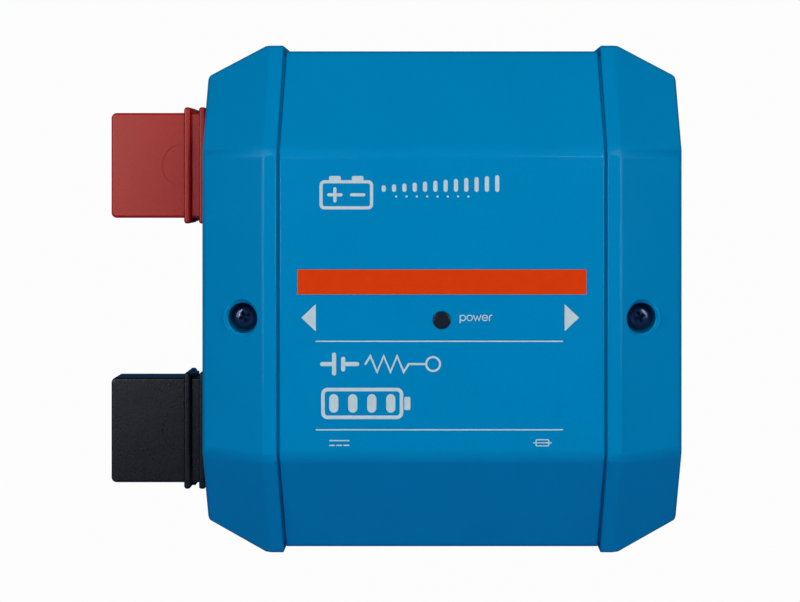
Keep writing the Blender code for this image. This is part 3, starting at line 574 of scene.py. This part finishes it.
def cheek(side):
    """One raised outer third of the case."""
    planes = level_planes(-OVERSHOOT, CASE_DEPTH) + wall_planes(CASE_WALLS, (side,))
    planes += slope_planes(CASE_DEPTH, CASE_FLAT, (side,))
    planes.append(
        ("cheek_wall", (side * CHEEK_INNER, 0.0, 0.0), (-side, 0.0, 0.0)))
    return plane_solid("cheek", planes)


def middle_third(half_width, sink):
    """The sunken middle of the case; the groove floor when sunk further in."""
    front = PANEL_TOP - sink
    planes = level_planes(-OVERSHOOT - sink, front)
    for sign in BOTH_SIDES:
        planes.append(("panel_side", (sign * half_width, 0.0, 0.0), (sign, 0.0, 0.0)))
        slope_foot = (0.0, sign * PANEL_FLAT_Z, front)
        planes.append(("end_slope", slope_foot, (0.0, sign * PANEL_SLOPE, 1.0)))
        end_foot = (0.0, sign * (PANEL_END - sink), 0.0)
        planes.append(("end_wall", end_foot, (0.0, sign, 0.0)))
    return plane_solid("middle_third", planes)


def case_band(name, foot, top):
    """The whole case outline between two heights above the wall."""
    band = cheek(-1)
    join(band, middle_third(PANEL_HALF_WIDTH + 3.0, GROOVE_DEPTH))
    join(band, middle_third(PANEL_HALF_WIDTH, 0.0))
    join(band, cheek(1))
    reach = CASE_WALLS[2]
    combine(band, box("slab", (-reach, reach), (-reach, reach), (foot, top)), "INTERSECT")
    band.name = name
    return band


def busbar_slots(target, h_range, half_width):
    """Openings in the side walls for the bars."""
    for side in BOTH_SIDES:
        for line in (-BAR_Z, BAR_Z):
            x_range = (side * 80.0, side * 95.0)
            z_range = (line - half_width, line + half_width)
            cut(target, box("slot", x_range, z_range, h_range))


def cover_shell():
    """The lift-off cover with its screw recesses and light hole."""
    shell = case_band("cover_shell", RIM, CASE_DEPTH + OVERSHOOT)
    inside = level_planes(RIM - OVERSHOOT, CAVITY_TOP) + wall_planes(CAVITY_WALLS)
    cut(shell, plane_solid("cavity", inside + slope_planes(CAVITY_TOP, CAVITY_FLAT)))
    for node, side in (("cover_screw_left", -1), ("cover_screw_right", 1)):
        spot = wall_spot(node)
        join(shell, turned("screw_tube", [(TUBE_RADIUS, TUBE_FOOT), (TUBE_RADIUS, TUBE_TOP)], spot))
        drill(shell, RECESS_RADIUS, spot, (SCREW_SEAT, CASE_DEPTH + OVERSHOOT))
        drill(shell, SCREW_HOLE_RADIUS, spot, (TUBE_FOOT - OVERSHOOT, SCREW_SEAT + 1.0))
        sink_screw_rim(shell, spot, side)
    light = wall_spot("led_light_pipe")
    drill(shell, LIGHT_HOLE_RADIUS, light, (CAVITY_TOP - OVERSHOOT, PANEL_TOP), rim=0.35)
    busbar_slots(shell, (RIM - OVERSHOOT, SLOT_TOP), SLOT_HALF_WIDTH)
    smooth(weld(shell))
    return finish_piece(shell, "cover", "blue_abs", "front_cover")


def sink_screw_rim(shell, spot, side):
    """A shallow dish around a screw recess, square to the sloping face."""
    drop = SIDE_SLOPE * (abs(spot[0]) - CASE_FLAT[0])
    on_slope = (spot[0], spot[1], CASE_DEPTH - drop)
    profile = [(RECESS_RADIUS - 0.4, -2.0), (RECESS_RADIUS - 0.4, -1.5),
               (RECESS_RADIUS + 0.35, -0.75), (RECESS_RADIUS + 0.9, -0.45),
               (RECESS_RADIUS + 1.25, 0.0), (RECESS_RADIUS + 1.5, 1.0)]
    cut(shell, turned("dish", profile, on_slope, (side * SIDE_SLOPE, 0.0, 1.0)))


def tray_shell():
    """The tray on the wall, with posts for the cover screws and the board."""
    top = RIM - GAP
    tray = case_band("tray_shell", 0.0, top)
    join(tray, plane_solid("lip", level_planes(RIM / 2.0, LIP_TOP) + wall_planes(LIP_WALLS)))
    inside = level_planes(FLOOR, LIP_TOP + OVERSHOOT) + wall_planes(TRAY_WALLS)
    cut(tray, plane_solid("tray_cavity", inside))
    busbar_slots(tray, (top, 40.0), SLOT_HALF_WIDTH + 0.8)
    for node in ("threaded_insert_left", "threaded_insert_right"):
        spot = wall_spot(node)
        join(tray, turned("cover_post", [(6.6, 1.0), (6.0, 8.0), (6.0, POST_TOP)], spot))
        drill(tray, INSERT_HOLE_RADIUS, spot, (INSERT_FOOT, POST_TOP + OVERSHOOT))
        drill(tray, SCREW_HOLE_RADIUS, spot, (40.0, 50.0))
    for side in BOTH_SIDES:
        post = [(5.2, 1.0), (4.5, 6.0), (3.5, 56.7), (1.3, 56.7), (1.3, 60.0), (1.0, 60.3)]
        spot = (side * BOARD_POST[0], BOARD_POST[1], 0.0)
        join(tray, turned("board_post", post, spot, segments=32))
        for end in BOTH_SIDES:
            seat = (side * MOUNT_X, end * MOUNT_Z, 0.0)
            join(tray, turned("mount_seat", [(6.5, 1.0), (6.5, 5.2), (6.2, 5.5)], seat))
            drill(tray, MOUNT_HOLE_RADIUS, seat, (-OVERSHOOT, 10.0))
    drill(tray, CABLE_HOLE_RADIUS, (0.0, 0.0, CABLE_HOLE_H), (-100.0, -80.0), ALONG_Z)
    smooth(tray)
    return finish_piece(tray, "base", "blue_abs", "base_tray")


# ------------------------------------------------- screws, window and caps

def cover_screw(node, body):
    """A pan-head screw with a tapered cross recess and a rolled thread."""
    tip, top = case_heights(node)
    underside = top - SCREW_HEAD_HEIGHT
    centre = wall_spot(node)
    profile = [(0.0, tip), (1.5, tip), (2.05, tip + 1.0)]
    for turn in range(SCREW_THREADS):
        foot = tip + 1.2 + turn * SCREW_PITCH
        profile += [(2.05, foot), (2.45, foot + 0.35), (2.05, foot + 0.7)]
    profile += [(2.3, underside - 0.8), (2.3, underside), (4.3, underside),
                (4.5, underside + 0.2), (4.5, underside + 1.1)]
    for step in range(1, 8):
        angle = math.radians(90.0 * step / 8)
        profile.append((2.3 + 2.2 * math.cos(angle), underside + 1.1 + 2.0 * math.sin(angle)))
    profile += [(2.2, top), (0.0, top)]
    screw = turned(node + "_finish", profile, centre)
    for quarter in (0, 1):
        cut(screw, recess_arm(centre, underside, SCREW_TURN + quarter * math.pi / 2.0))
    smooth(screw, 30.0)
    # The dark steel's navy tint is painted reflection of the blue recess walls.
    return finish_piece(screw, body, "dark_steel", node)


def recess_arm(centre, underside, angle):
    """A tapered bar that cuts one arm of the cross."""
    mesh_data = bmesh.new()
    for height, reach, half in ((underside + 0.9, 0.8, 0.25), (underside + 3.6, 2.3, 0.6)):
        for end, edge in ((-1, -1), (1, -1), (1, 1), (-1, 1)):
            x = end * reach * math.cos(angle) - edge * half * math.sin(angle)
            z = end * reach * math.sin(angle) + edge * half * math.cos(angle)
            mesh_data.verts.new(to_world(centre[0] + x, centre[1] + z, height))
    bmesh.ops.convex_hull(mesh_data, input=mesh_data.verts)
    return object_from(mesh_data, "arm")


def light_window():
    """The smoked round window in front of the status light, with a low dome."""
    foot, top = case_heights("led_light_pipe")
    radius = LIGHT_RADIUS
    profile = [(radius, foot), (radius, foot + 5.8), (4.8, foot + 5.8), (4.8, foot + 7.4),
               (radius, foot + 7.4), (radius, top - 0.15), (radius - 0.05, top - 0.04),
               (radius - 0.18, top)]
    for step in range(1, 5):
        share = 1.0 - step / 5.0
        profile.append(((radius - 0.18) * share, top + 0.06 * (1.0 - share * share)))
    profile.append((0.0, top + 0.06))
    window = smooth(turned("light_window", profile, wall_spot("led_light_pipe")), 50.0)
    return finish_piece(window, "cover", "clear_plastic", "led_light_pipe")


def bar_cap(node, body, material):
    """A push-on cover for a bar's tab: box, two flanges, a neck and a half ring."""
    x_range, z_range, _ = case_ranges(node)
    line = middle(z_range)
    front = CAP_DEPTHS[1]
    centre_h = middle(CAP_DEPTHS)
    outline = rounded_rectangle((x_range[0], -88.0), (line - CAP_HALF, line + CAP_HALF), 2.0)
    cap = plate(node + "_finish", outline, CAP_DEPTHS, 1.0)
    for rib, reach, deep, rounding in CAP_RIBS:
        outline = rounded_rectangle(rib, (line - reach, line + reach), rounding)
        join(cap, plate("rib", outline, (centre_h - deep, centre_h + deep), rounding * 0.8))
    spigot = rounded_rectangle((-96.0, x_range[1]), (line - 19.0, line + 19.0), 0.8)
    join(cap, plate("spigot", spigot, (32.5, 44.5), 0.5))
    ring_centre = (CAP_RING_CENTRE, line)
    ring = arc(ring_centre, (7.9, 8.2), 90, 270, 28) + arc(ring_centre, (7.5, 7.8), 270, 90, 28)
    cut(cap, plate("half_ring", ring, (front - 0.3, front + 1.0)))
    inside = ((-123.6, -80.0), (line - 17.8, line + 17.8), (33.9, 43.1))
    cut(cap, box("inside", *inside))
    smooth(cap)
    return finish_piece(cap, body, material, node)


# ------------------------------------------------------------------- prints

def stroke_rows(points, half_width, closed):
    """(centre, sideways vector) rows along a line, with round ends unless closed."""
    spots = [Vector(point) for point in points]
    count = len(spots)
    rows = []
    for index, spot in enumerate(spots):
        before = spots[index - 1] if closed or index else None
        after = spots[(index + 1) % count] if closed or index < count - 1 else None
        arriving = (spot - before).normalized() if before else (after - spot).normalized()
        leaving = (after - spot).normalized() if after else arriving
        heading = (arriving + leaving).normalized()
        stretch = 1.0 / max(heading.dot(leaving), 0.5)
        sideways = Vector((-heading.y, heading.x)) * half_width * stretch
        rows.append((spot, sideways))
    if closed:
        return rows
    start = end_rows(spots[0], spots[0] - spots[1], half_width)
    finish = end_rows(spots[-1], spots[-1] - spots[-2], half_width)
    opening = [(spot, -sideways) for spot, sideways in reversed(start)]
    return opening + rows + finish


def end_rows(spot, outward, half_width, steps=5):
    """Rows that narrow to a point, which make a round end."""
    outward = outward.normalized()
    sideways = Vector((-outward.y, outward.x)) * half_width
    rows = []
    for step in range(1, steps + 1):
        angle = math.radians(90.0 * step / steps)
        rows.append((spot + outward * half_width * math.sin(angle), sideways * math.cos(angle)))
    return rows


def stroke_solid(points, width, closed, h_range=PRINT_HEIGHTS):
    """One line as a thin solid."""
    mesh_data = bmesh.new()
    left, right = [], []
    for spot, sideways in stroke_rows(points, width / 2.0, closed):
        for row, place in ((left, spot + sideways), (right, spot - sideways)):
            row.append(mesh_data.verts.new(to_world(place.x, place.y, h_range[0])))
    pairs = len(left) if closed else len(left) - 1
    for index in range(pairs):
        after = (index + 1) % len(left)
        mesh_data.faces.new((left[index], right[index], right[after], left[after]))
    bmesh.ops.remove_doubles(mesh_data, verts=mesh_data.verts, dist=1e-7)
    push_out(mesh_data, list(mesh_data.faces), to_world(0.0, 0.0, h_range[1] - h_range[0]))
    return object_from(mesh_data, "stroke")


def printed(name, material, strokes=(), fills=()):
    """Ink on the panel: (points, width, closed) strokes and filled outlines, as one piece."""
    parts = [stroke_solid(points, width, closed) for points, width, closed in strokes]
    parts += [plate("fill", outline, PRINT_HEIGHTS) for outline in fills]
    ink = parts[0]
    for other in parts[1:]:
        join(ink, other)
    ink.name = name
    return finish_piece(ink, "cover", material)


def word_power():
    """The word "power" beside the status light, in plain round strokes."""
    base, height, half, width = -5.75, 1.96, 0.98, 0.34
    centre_z = base + half
    letters = []
    x = 6.55
    letters.append(([(x, base + height), (x, base - 0.8)], width, False))
    letters.append((arc((x + half, centre_z), half, 0, 345, 23), width, True))
    x = 9.0
    letters.append((arc((x + half, centre_z), half, 0, 345, 23), width, True))
    x = 11.4
    zigzag = [(x, base + height), (x + 0.65, base), (x + 1.3, base + 1.6),
              (x + 1.95, base), (x + 2.6, base + height)]
    letters.append((zigzag, width, False))
    x = 14.5
    curl = [(x + 0.2, centre_z)] + arc((x + half, centre_z), half, 0, 315, 20)
    letters.append((curl, width, False))
    x = 17.1
    hook = [(x, base)] + arc((x + 0.75, base + 1.2), 0.75, 180, 75, 8)
    letters.append((hook, width, False))
    return printed("label_power", "white_ink", letters)


def frame_lines():
    """The two thin rules above and below the name block."""
    fills = []
    for z in (-13.2, -45.1):
        fills.append([(-45.5, z - 0.22), (43.6, z - 0.22), (43.6, z + 0.22), (-45.5, z + 0.22)])
    return printed("rule_lines", "white_ink", fills=fills)


def arrows():
    """The triangles that point to both neighbouring modules."""
    z, half = -4.7, 4.9
    left = [(-45.5, z + half), (-50.7, z), (-45.5, z - half)]
    right = [(44.2, z - half), (49.4, z), (44.2, z + half)]
    return printed("arrows", "white_ink", fills=[left, right])


def orange_bar():
    """The orange band across the panel."""
    outline = [(-52.1, 3.7), (52.1, 3.7), (52.1, 12.7), (-52.1, 12.7)]
    return printed("orange_bar", "orange_ink", fills=[outline])


def battery_emblem():
    """A battery outline with its two signs, at the head of the panel."""
    width = 1.15
    outline = rounded_rectangle((-43.6, -25.4), (34.9, 44.3), 1.2, 3)
    strokes = [(outline, width, True)]
    for x, upright in ((-38.6, True), (-30.4, False)):
        strokes.append(([(x - 2.2, 39.6), (x + 2.2, 39.6)], width, False))
        if upright:
            strokes.append(([(x, 37.4), (x, 41.8)], width, False))
    fills = [rounded_rectangle((x - 2.1, x + 2.1), (44.6, 46.4), 0.5, 2) for x in (-38.6, -30.4)]
    return printed("battery_emblem", "white_ink", strokes, fills)


def charge_bars():
    """A row of slim bars that rise to the right, with fine ticks below."""
    strokes = []
    for index in range(12):
        x = -21.0 + index * 3.72
        strokes.append(([(x, 41.4), (x, 42.3 + index * 0.33)], 1.5, False))
    fills = []
    for index in range(8):
        fills.append(arc((-16.5 + index * 3.72, 39.0), 0.38, 0, 330, 11))
    return printed("charge_bars", "white_ink", strokes, fills)


def circuit_row():
    """A cell, a wire, a resistor and a terminal, as in a circuit drawing."""
    z = -21.4
    bold, fine = 1.5, 0.75
    strokes = [([(-43.2, z), (-38.9, z)], bold, False),
               ([(-38.9, z - 3.4), (-38.9, z + 3.4)], bold, False),
               ([(-35.6, z - 1.9), (-35.6, z + 1.9)], bold, False),
               ([(-35.6, z), (-30.6, z)], bold, False)]
    zigzag = [(-27.6, z)]
    for index in range(6):
        zigzag.append((-25.8 + index * 2.4, z + (2.9 if index % 2 == 0 else -2.9)))
    zigzag += [(-12.0, z), (-6.4, z)]
    strokes.append((zigzag, fine, False))
    strokes.append((arc((-3.2, z), 2.5, 0, 345, 23), fine, True))
    return printed("circuit_row", "white_ink", strokes)


def battery_gauge():
    """A battery with four charge bars."""
    outline = rounded_rectangle((-42.9, -14.6), (-40.6, -30.6), 1.6, 4)
    strokes = [(outline, 1.3, True)]
    fills = [rounded_rectangle((-13.6, -11.4), (-38.0, -33.2), 0.5, 2)]
    for index in range(4):
        x = -39.0 + index * 6.85
        strokes.append(([(x, -37.3), (x, -33.9)], 3.3, False))
    return printed("battery_gauge", "white_ink", strokes, fills)


def small_marks():
    """The direct-current sign at the left and the fuse sign at the right."""
    strokes = [([(-40.5, -49.0), (-33.6, -49.0)], 0.42, False)]
    for index in range(3):
        x = -40.5 + index * 2.6
        strokes.append(([(x, -50.7), (x + 1.7, -50.7)], 0.42, False))
    outline = rounded_rectangle((33.9, 38.5), (-50.9, -48.7), 0.3, 2)
    strokes.append((outline, 0.36, True))
    strokes.append(([(32.9, -49.8), (39.5, -49.8)], 0.36, False))
    return printed("small_marks", "white_ink", strokes)


# ------------------------------------------------------------------ interior

def gather(name, parts):
    """Put several separate solids into one object."""
    mesh_data = bmesh.new()
    for part in parts:
        mesh_data.from_mesh(part.data)
        bpy.data.objects.remove(part, do_unlink=True)
    return object_from(mesh_data, name)


def rounded_hexagon(node, h_range):
    """A hexagon, turned as the CAD's, with the corners of a real nut or bolt head."""
    x_range, z_range, _ = case_ranges(node)
    width, height = x_range[1] - x_range[0], z_range[1] - z_range[0]
    corner = max(width, height) / 2.0
    start = 0.0 if width > height else 30.0
    spot = wall_spot(node)
    outline = arc(spot[:2], corner, start, start + 300.0, 5)
    low, high = h_range
    profile = [(corner - 1.1, low), (corner, low + 0.6), (corner, high - 0.6),
               (corner - 1.1, high)]
    made = plate(node + "_finish", outline, h_range)
    return combine(made, turned("corners", profile, spot), "INTERSECT")


def hex_nut(node):
    """A nut with turned corners and a countersunk bore."""
    foot, top = case_heights(node)
    made = rounded_hexagon(node, (foot, top))
    drill(made, M8_RADIUS + 0.08, wall_spot(node), (foot - OVERSHOOT, top), rim=0.35)
    return finish_piece(smooth(made, 30.0), "base", "zinc_steel", node)


def threaded_stud(node):
    """A hexagon bolt whose threaded shank stands up through a bar."""
    foot, top = case_heights(node)
    head_top = foot + M8_HEAD_HEIGHT
    made = rounded_hexagon(node, (foot, head_top))
    core = M8_RADIUS - M8_THREAD_DEPTH
    profile = [(core, head_top - 1.0)]
    turns = int((top - head_top - 1.2) / M8_PITCH)
    for turn in range(turns):
        height = top - 1.2 - (turns - turn) * M8_PITCH
        profile += [(core, height), (M8_RADIUS, height + 0.45), (M8_RADIUS, height + 0.7)]
    profile += [(core, top - 1.1), (M8_RADIUS - 0.3, top - 0.7), (core - 0.2, top)]
    join(made, turned("shank", profile, wall_spot(node), segments=40))
    return finish_piece(smooth(made, 30.0), "base", "zinc_steel", node)


def board_front():
    """The height of the board's front face."""
    return case_heights("circuit_board")[1]


def chip_legs():
    """Two rows of bent legs beside the chip."""
    x_range, z_range, _ = case_ranges("controller_chip")
    foot = board_front()
    bend = [(-0.1, 0.75), (0.6, 0.75), (0.6, 0.06), (1.4, 0.06), (1.4, 0.26), (0.85, 0.26),
            (0.85, 0.95), (-0.1, 0.95)]
    mesh_data = bmesh.new()
    for side, edge in zip(BOTH_SIDES, x_range):
        for index in range(7):
            z = z_range[0] + 1.2 + index * 1.27
            row = [mesh_data.verts.new(to_world(edge + side * out, z - 0.2, foot + height))
                   for out, height in bend]
            push_out(mesh_data, [mesh_data.faces.new(row)], to_world(0.0, 0.4, 0.0))
    legs = object_from(mesh_data, "chip_legs")
    return finish_piece(legs, "base", "tinned_copper")


def small_component_places():
    """(x, z) of the resistors and of the ceramic capacitors."""
    resistors = [(-12.0 + index * PART_SPACING, -24.0) for index in range(7)]
    resistors += [(43.0, -16.0 - index * PART_SPACING) for index in range(4)]
    capacitors = [(-12.0 + index * PART_SPACING, -14.5) for index in range(7)]
    capacitors += [(-33.5, -30.0 - index * PART_SPACING) for index in range(2)]
    return resistors, capacitors


def small_components():
    """Rows of tiny resistors and capacitors with bright ends."""
    foot = board_front() + TRACK_HEIGHT
    resistors, capacitors = small_component_places()
    ends = []
    for name, material, places in (
            ("resistors", "black_plastic", resistors), ("capacitors", "tan_ceramic", capacitors)):
        bodies = []
        for x, z in places:
            outline = rounded_rectangle((x - 0.8, x + 0.8), (z - 1.05, z + 1.05), 0.1, 2)
            bodies.append(plate("body", outline, (foot, foot + 0.8), 0.08, 2))
            for end in BOTH_SIDES:
                z_range = (z + end * 1.08, z + end * 1.6)
                outline = rounded_rectangle((x - 0.82, x + 0.82), z_range, 0.1, 2)
                ends.append(plate("end", outline, (foot, foot + 0.82), 0.08, 2))
        finish_piece(gather(name, bodies), "base", material)
    finish_piece(gather("component_ends", ends), "base", "tinned_copper")


def storage_capacitors():
    """Two round cans with a pressed groove and a scored top."""
    foot = board_front() + TRACK_HEIGHT
    cans = []
    profile = [(0.0, 0.0), (3.7, 0.0), (4.0, 0.3), (4.0, 1.6), (3.7, 1.9), (3.7, 2.3),
               (4.0, 2.6), (4.0, 8.4), (3.6, 8.9), (3.2, 8.9), (3.0, 8.6), (0.0, 8.6)]
    score_depths = (foot + 8.45, foot + 10.0)
    for z in CAN_SPOTS:
        can = turned("can", profile, (CAN_X, z, foot), segments=40)
        for reach_x, reach_z in ((2.72, 0.12), (0.12, 2.72)):
            x_range = (CAN_X - reach_x, CAN_X + reach_x)
            cut(can, box("score", x_range, (z - reach_z, z + reach_z), score_depths))
        cans.append(can)
    return finish_piece(smooth(gather("storage_capacitors", cans)), "base", "zinc_steel")


def board_tracks():
    """Raised tracks under the green mask, from the chip to both connectors."""
    heights = (board_front() - 0.05, board_front() + TRACK_HEIGHT)
    paths = []
    for index in range(4):
        start, end = -25.4 + index * 2.2, -29.0 + index * 3.4
        bend = -33.0 - index * 0.7
        paths.append([(start, -28.6), (start, bend), (end, bend - 4.0), (end, -42.0)])
    for index in range(5):
        z, turn_x = -19.2 - index * 1.4, 21.0 - index * 3.6
        paths.append([(-15.2, z), (turn_x, z), (turn_x + 0.8, z - 0.8), (turn_x + 0.8, -31.6)])
    for index in range(3):
        z = -6.0 - index * 1.6
        paths.append([(-29.5 + index, 3.2 - index), (-29.5 + index, z), (-26.0 + index, z - 3.5),
                      (-26.0 + index, -17.4)])
    tracks = [stroke_solid(path, 0.5, False, heights) for path in paths]
    return finish_piece(gather("board_tracks", tracks), "base", "board_track")


def solder_points():
    """Small domes of solder where the through-hole parts sit."""
    foot = board_front()
    places = [(5.9 + index * 2.3, -30.6) for index in range(8)]
    places += [(24.0 + index * 4.0, -2.6) for index in range(4)]
    places += [(-30.4, -40.9 + index * 1.4) for index in range(2)] + [(-29.5, 3.2)]
    profile = [(0.75, -0.04), (0.7, 0.15), (0.45, 0.38), (0.0, 0.45)]
    domes = [turned("dome", profile, (x, z, foot), segments=14) for x, z in places]
    return finish_piece(smooth(gather("solder_points", domes)), "base", "tinned_copper")


def board_outlines():
    """White outlines on the board around its larger parts."""
    heights = (board_front() - 0.05, board_front() + TRACK_HEIGHT + 0.02)
    strokes = []
    for node in BOARD_OUTLINES:
        x_range, z_range, _ = case_ranges(node)
        margin = 1.9 if node == "controller_chip" else 0.8
        outline = rounded_rectangle(
            (x_range[0] - margin, x_range[1] + margin),
            (max(z_range[0] - margin, -57.6), z_range[1] + 0.8), 0.3, 2)
        strokes.append(stroke_solid(outline, 0.22, True, heights))
    return finish_piece(gather("board_outlines", strokes), "base", "white_ink")


def plug_screws():
    """The four clamp screws in the plug's wells."""
    x_range, z_range, h_range = case_ranges("terminal_plug")
    screws = []
    for index in range(4):
        x = middle(x_range) + (index - 1.5) * PLUG_PITCH
        z, foot = z_range[0] + 4.4, h_range[1] - 1.95
        screw = turned("screw", [(1.3, 0.0), (1.3, 0.9), (1.15, 1.05)], (x, z, foot), segments=20)
        slot = box("slot", (x - 0.2, x + 0.2), (z - 2.0, z + 2.0), (foot + 0.5, foot + 3.0))
        screws.append(cut(screw, slot))
    return finish_piece(gather("plug_screws", screws), "plug", "zinc_steel")


def hardware():
    """Every nut and stud on the bars."""
    for node in sorted(frame["nodes"]):
        if node.startswith("nut_"):
            hex_nut(node)
        if node.startswith("stud_"):
            threaded_stud(node)


def board_detail():
    """Everything small on the circuit board."""
    board_tracks()
    board_outlines()
    solder_points()
    chip_legs()
    small_components()
    storage_capacitors()
    plug_screws()


def dress_cad_nodes():
    """Soften and colour the CAD nodes that stay visible."""
    slots = {part["node"]: part["material_slot"] for part in frame["record"]["subparts"]}
    for name, node in frame["nodes"].items():
        node.data.materials.clear()
        node.data.materials.append(MATERIALS[slots[name]])
        merged = node.modifiers.new("weld", "WELD")
        merged.merge_threshold = 1e-6
        bevel = node.modifiers.new("rounding", "BEVEL")
        bevel.limit_method = "ANGLE"
        bevel.angle_limit = math.radians(40.0)
        bevel.width = 0.25 * MM
        bevel.segments = 2
        smooth(node, 35.0)


# ------------------------------------------------------------- light, camera

def studio_world():
    """White to the camera, dim and cool to everything else."""
    world = bpy.data.worlds.new("studio")
    world.use_nodes = True
    tree = world.node_tree
    background = tree.nodes["Background"]
    path = tree.nodes.new("ShaderNodeLightPath")
    strength = tree.nodes.new("ShaderNodeMapRange")
    preset(strength, {"To Min": FILL_STRENGTH, "To Max": BACKDROP_STRENGTH})
    link(tree, path, "Is Camera Ray", strength, "Value")
    link(tree, strength, "Result", background, "Strength")
    hue = tree.nodes.new("ShaderNodeMix")
    hue.data_type = "RGBA"
    preset(hue, {"A": COOL_FILL, "B": WHITE})
    link(tree, path, "Is Camera Ray", hue, "Factor")
    tree.links.new(hue.outputs["Result"], background.inputs["Color"])
    bpy.context.scene.world = world


def studio_floor():
    """A plain floor far under the object, pale to the camera."""
    bpy.ops.mesh.primitive_plane_add(size=FLOOR_SIZE, location=(0.0, 0.0, FLOOR_LEVEL))
    floor = bpy.context.object
    floor.name = "studio_floor"
    made = bpy.data.materials.new("pale_floor")
    made.use_nodes = True
    tree = made.node_tree
    shader = tree.nodes["Principled BSDF"]
    preset(shader, {"Base Color": FLOOR_BOUNCE, "Roughness": 0.9})
    glow = tree.nodes.new("ShaderNodeEmission")
    preset(glow, {"Strength": BACKDROP_STRENGTH})
    path = tree.nodes.new("ShaderNodeLightPath")
    mix = tree.nodes.new("ShaderNodeMixShader")
    link(tree, path, "Is Camera Ray", mix, "Fac")
    tree.links.new(shader.outputs["BSDF"], mix.inputs[1])
    tree.links.new(glow.outputs["Emission"], mix.inputs[2])
    tree.links.new(mix.outputs["Shader"], tree.nodes["Material Output"].inputs["Surface"])
    floor.data.materials.append(made)


def softbox(name, azimuth, elevation, distance, size, power):
    """An area light that looks at the object; azimuth 0 is straight in front."""
    data = bpy.data.lights.new(name, "AREA")
    data.shape = "RECTANGLE"
    data.size, data.size_y = size
    data.energy = power
    light = bpy.data.objects.new(name, data)
    bpy.context.scene.collection.objects.link(light)
    level = math.cos(math.radians(elevation))
    direction = Vector((
        math.sin(math.radians(azimuth)) * level, -math.cos(math.radians(azimuth)) * level,
        math.sin(math.radians(elevation))))
    light.location = to_world(0.0, 0.0, 40.0) + direction * distance
    light.rotation_mode = "QUATERNION"
    light.rotation_quaternion = direction.to_track_quat("Z", "Y")
    light.visible_camera = False
    return light


def studio_lights():
    """A softbox above, a broad and a narrow light at each side, and one behind."""
    above = softbox("main_light", 0.0, 32.0, 1.6, (0.9, 0.5), 7.2)
    above.visible_glossy = False
    for side, label in ((-1, "left"), (1, "right")):
        softbox("side_light_" + label, side * 42.0, 14.0, 1.3, (0.8, 0.9), 5.6)
        softbox("strip_light_" + label, side * 22.0, 9.0, 1.3, (0.05, 0.6), 2.2)
    behind = softbox("back_light", 180.0, 4.0, 1.5, (0.8, 0.8), 12.0)
    behind.visible_glossy = False


def shift_at_own_spot(camera, name, value):
    """Shift the lens only while the camera stands at its own spot."""
    curve = camera.data.driver_add(name)
    for modifier in list(curve.modifiers):
        curve.modifiers.remove(modifier)
    curve.driver.type = "SUM"
    variable = curve.driver.variables.new()
    variable.type = "TRANSFORMS"
    target = variable.targets[0]
    target.id = camera
    target.transform_type = "LOC_Z"
    target.transform_space = "WORLD_SPACE"
    while curve.keyframe_points:
        curve.keyframe_points.remove(curve.keyframe_points[0])
    for offset, share in ((-CAMERA_SPOT_REACH, 0.0), (0.0, 1.0), (CAMERA_SPOT_REACH, 0.0)):
        key = curve.keyframe_points.insert(CAMERA_SPOT[2] + offset, value * share)
        key.interpolation = "LINEAR"
    curve.extrapolation = "CONSTANT"


def studio_camera():
    """The camera, square to the front and a little above its middle."""
    data = bpy.data.cameras.new("camera")
    data.lens = CAMERA_LENS
    data.clip_start = 0.01
    camera = bpy.data.objects.new("camera", data)
    bpy.context.scene.collection.objects.link(camera)
    camera.location = CAMERA_SPOT
    camera.rotation_euler = (math.radians(90.0), 0.0, 0.0)
    shift_at_own_spot(camera, "shift_x", CAMERA_SHIFT[0])
    shift_at_own_spot(camera, "shift_y", CAMERA_SHIFT[1])
    bpy.context.scene.camera = camera
    bpy.context.scene.view_settings.view_transform = "Standard"


# ----------------------------------------------------------------- assembly

def build_pieces():
    """Every piece of the visual model."""
    dress_cad_nodes()
    cover_shell()
    tray_shell()
    light_window()
    cover_screw("cover_screw_left", "screw_left")
    cover_screw("cover_screw_right", "screw_right")
    bar_cap("red_bar_cap", "red_cap", "red_plastic")
    bar_cap("black_bar_cap", "black_cap", "black_plastic")
    orange_bar()
    arrows()
    frame_lines()
    word_power()
    battery_emblem()
    charge_bars()
    circuit_row()
    battery_gauge()
    small_marks()
    hardware()
    board_detail()


def build_studio():
    """Floor, world, lights and camera."""
    studio_floor()
    studio_world()
    studio_lights()
    studio_camera()


build_pieces()
build_studio()
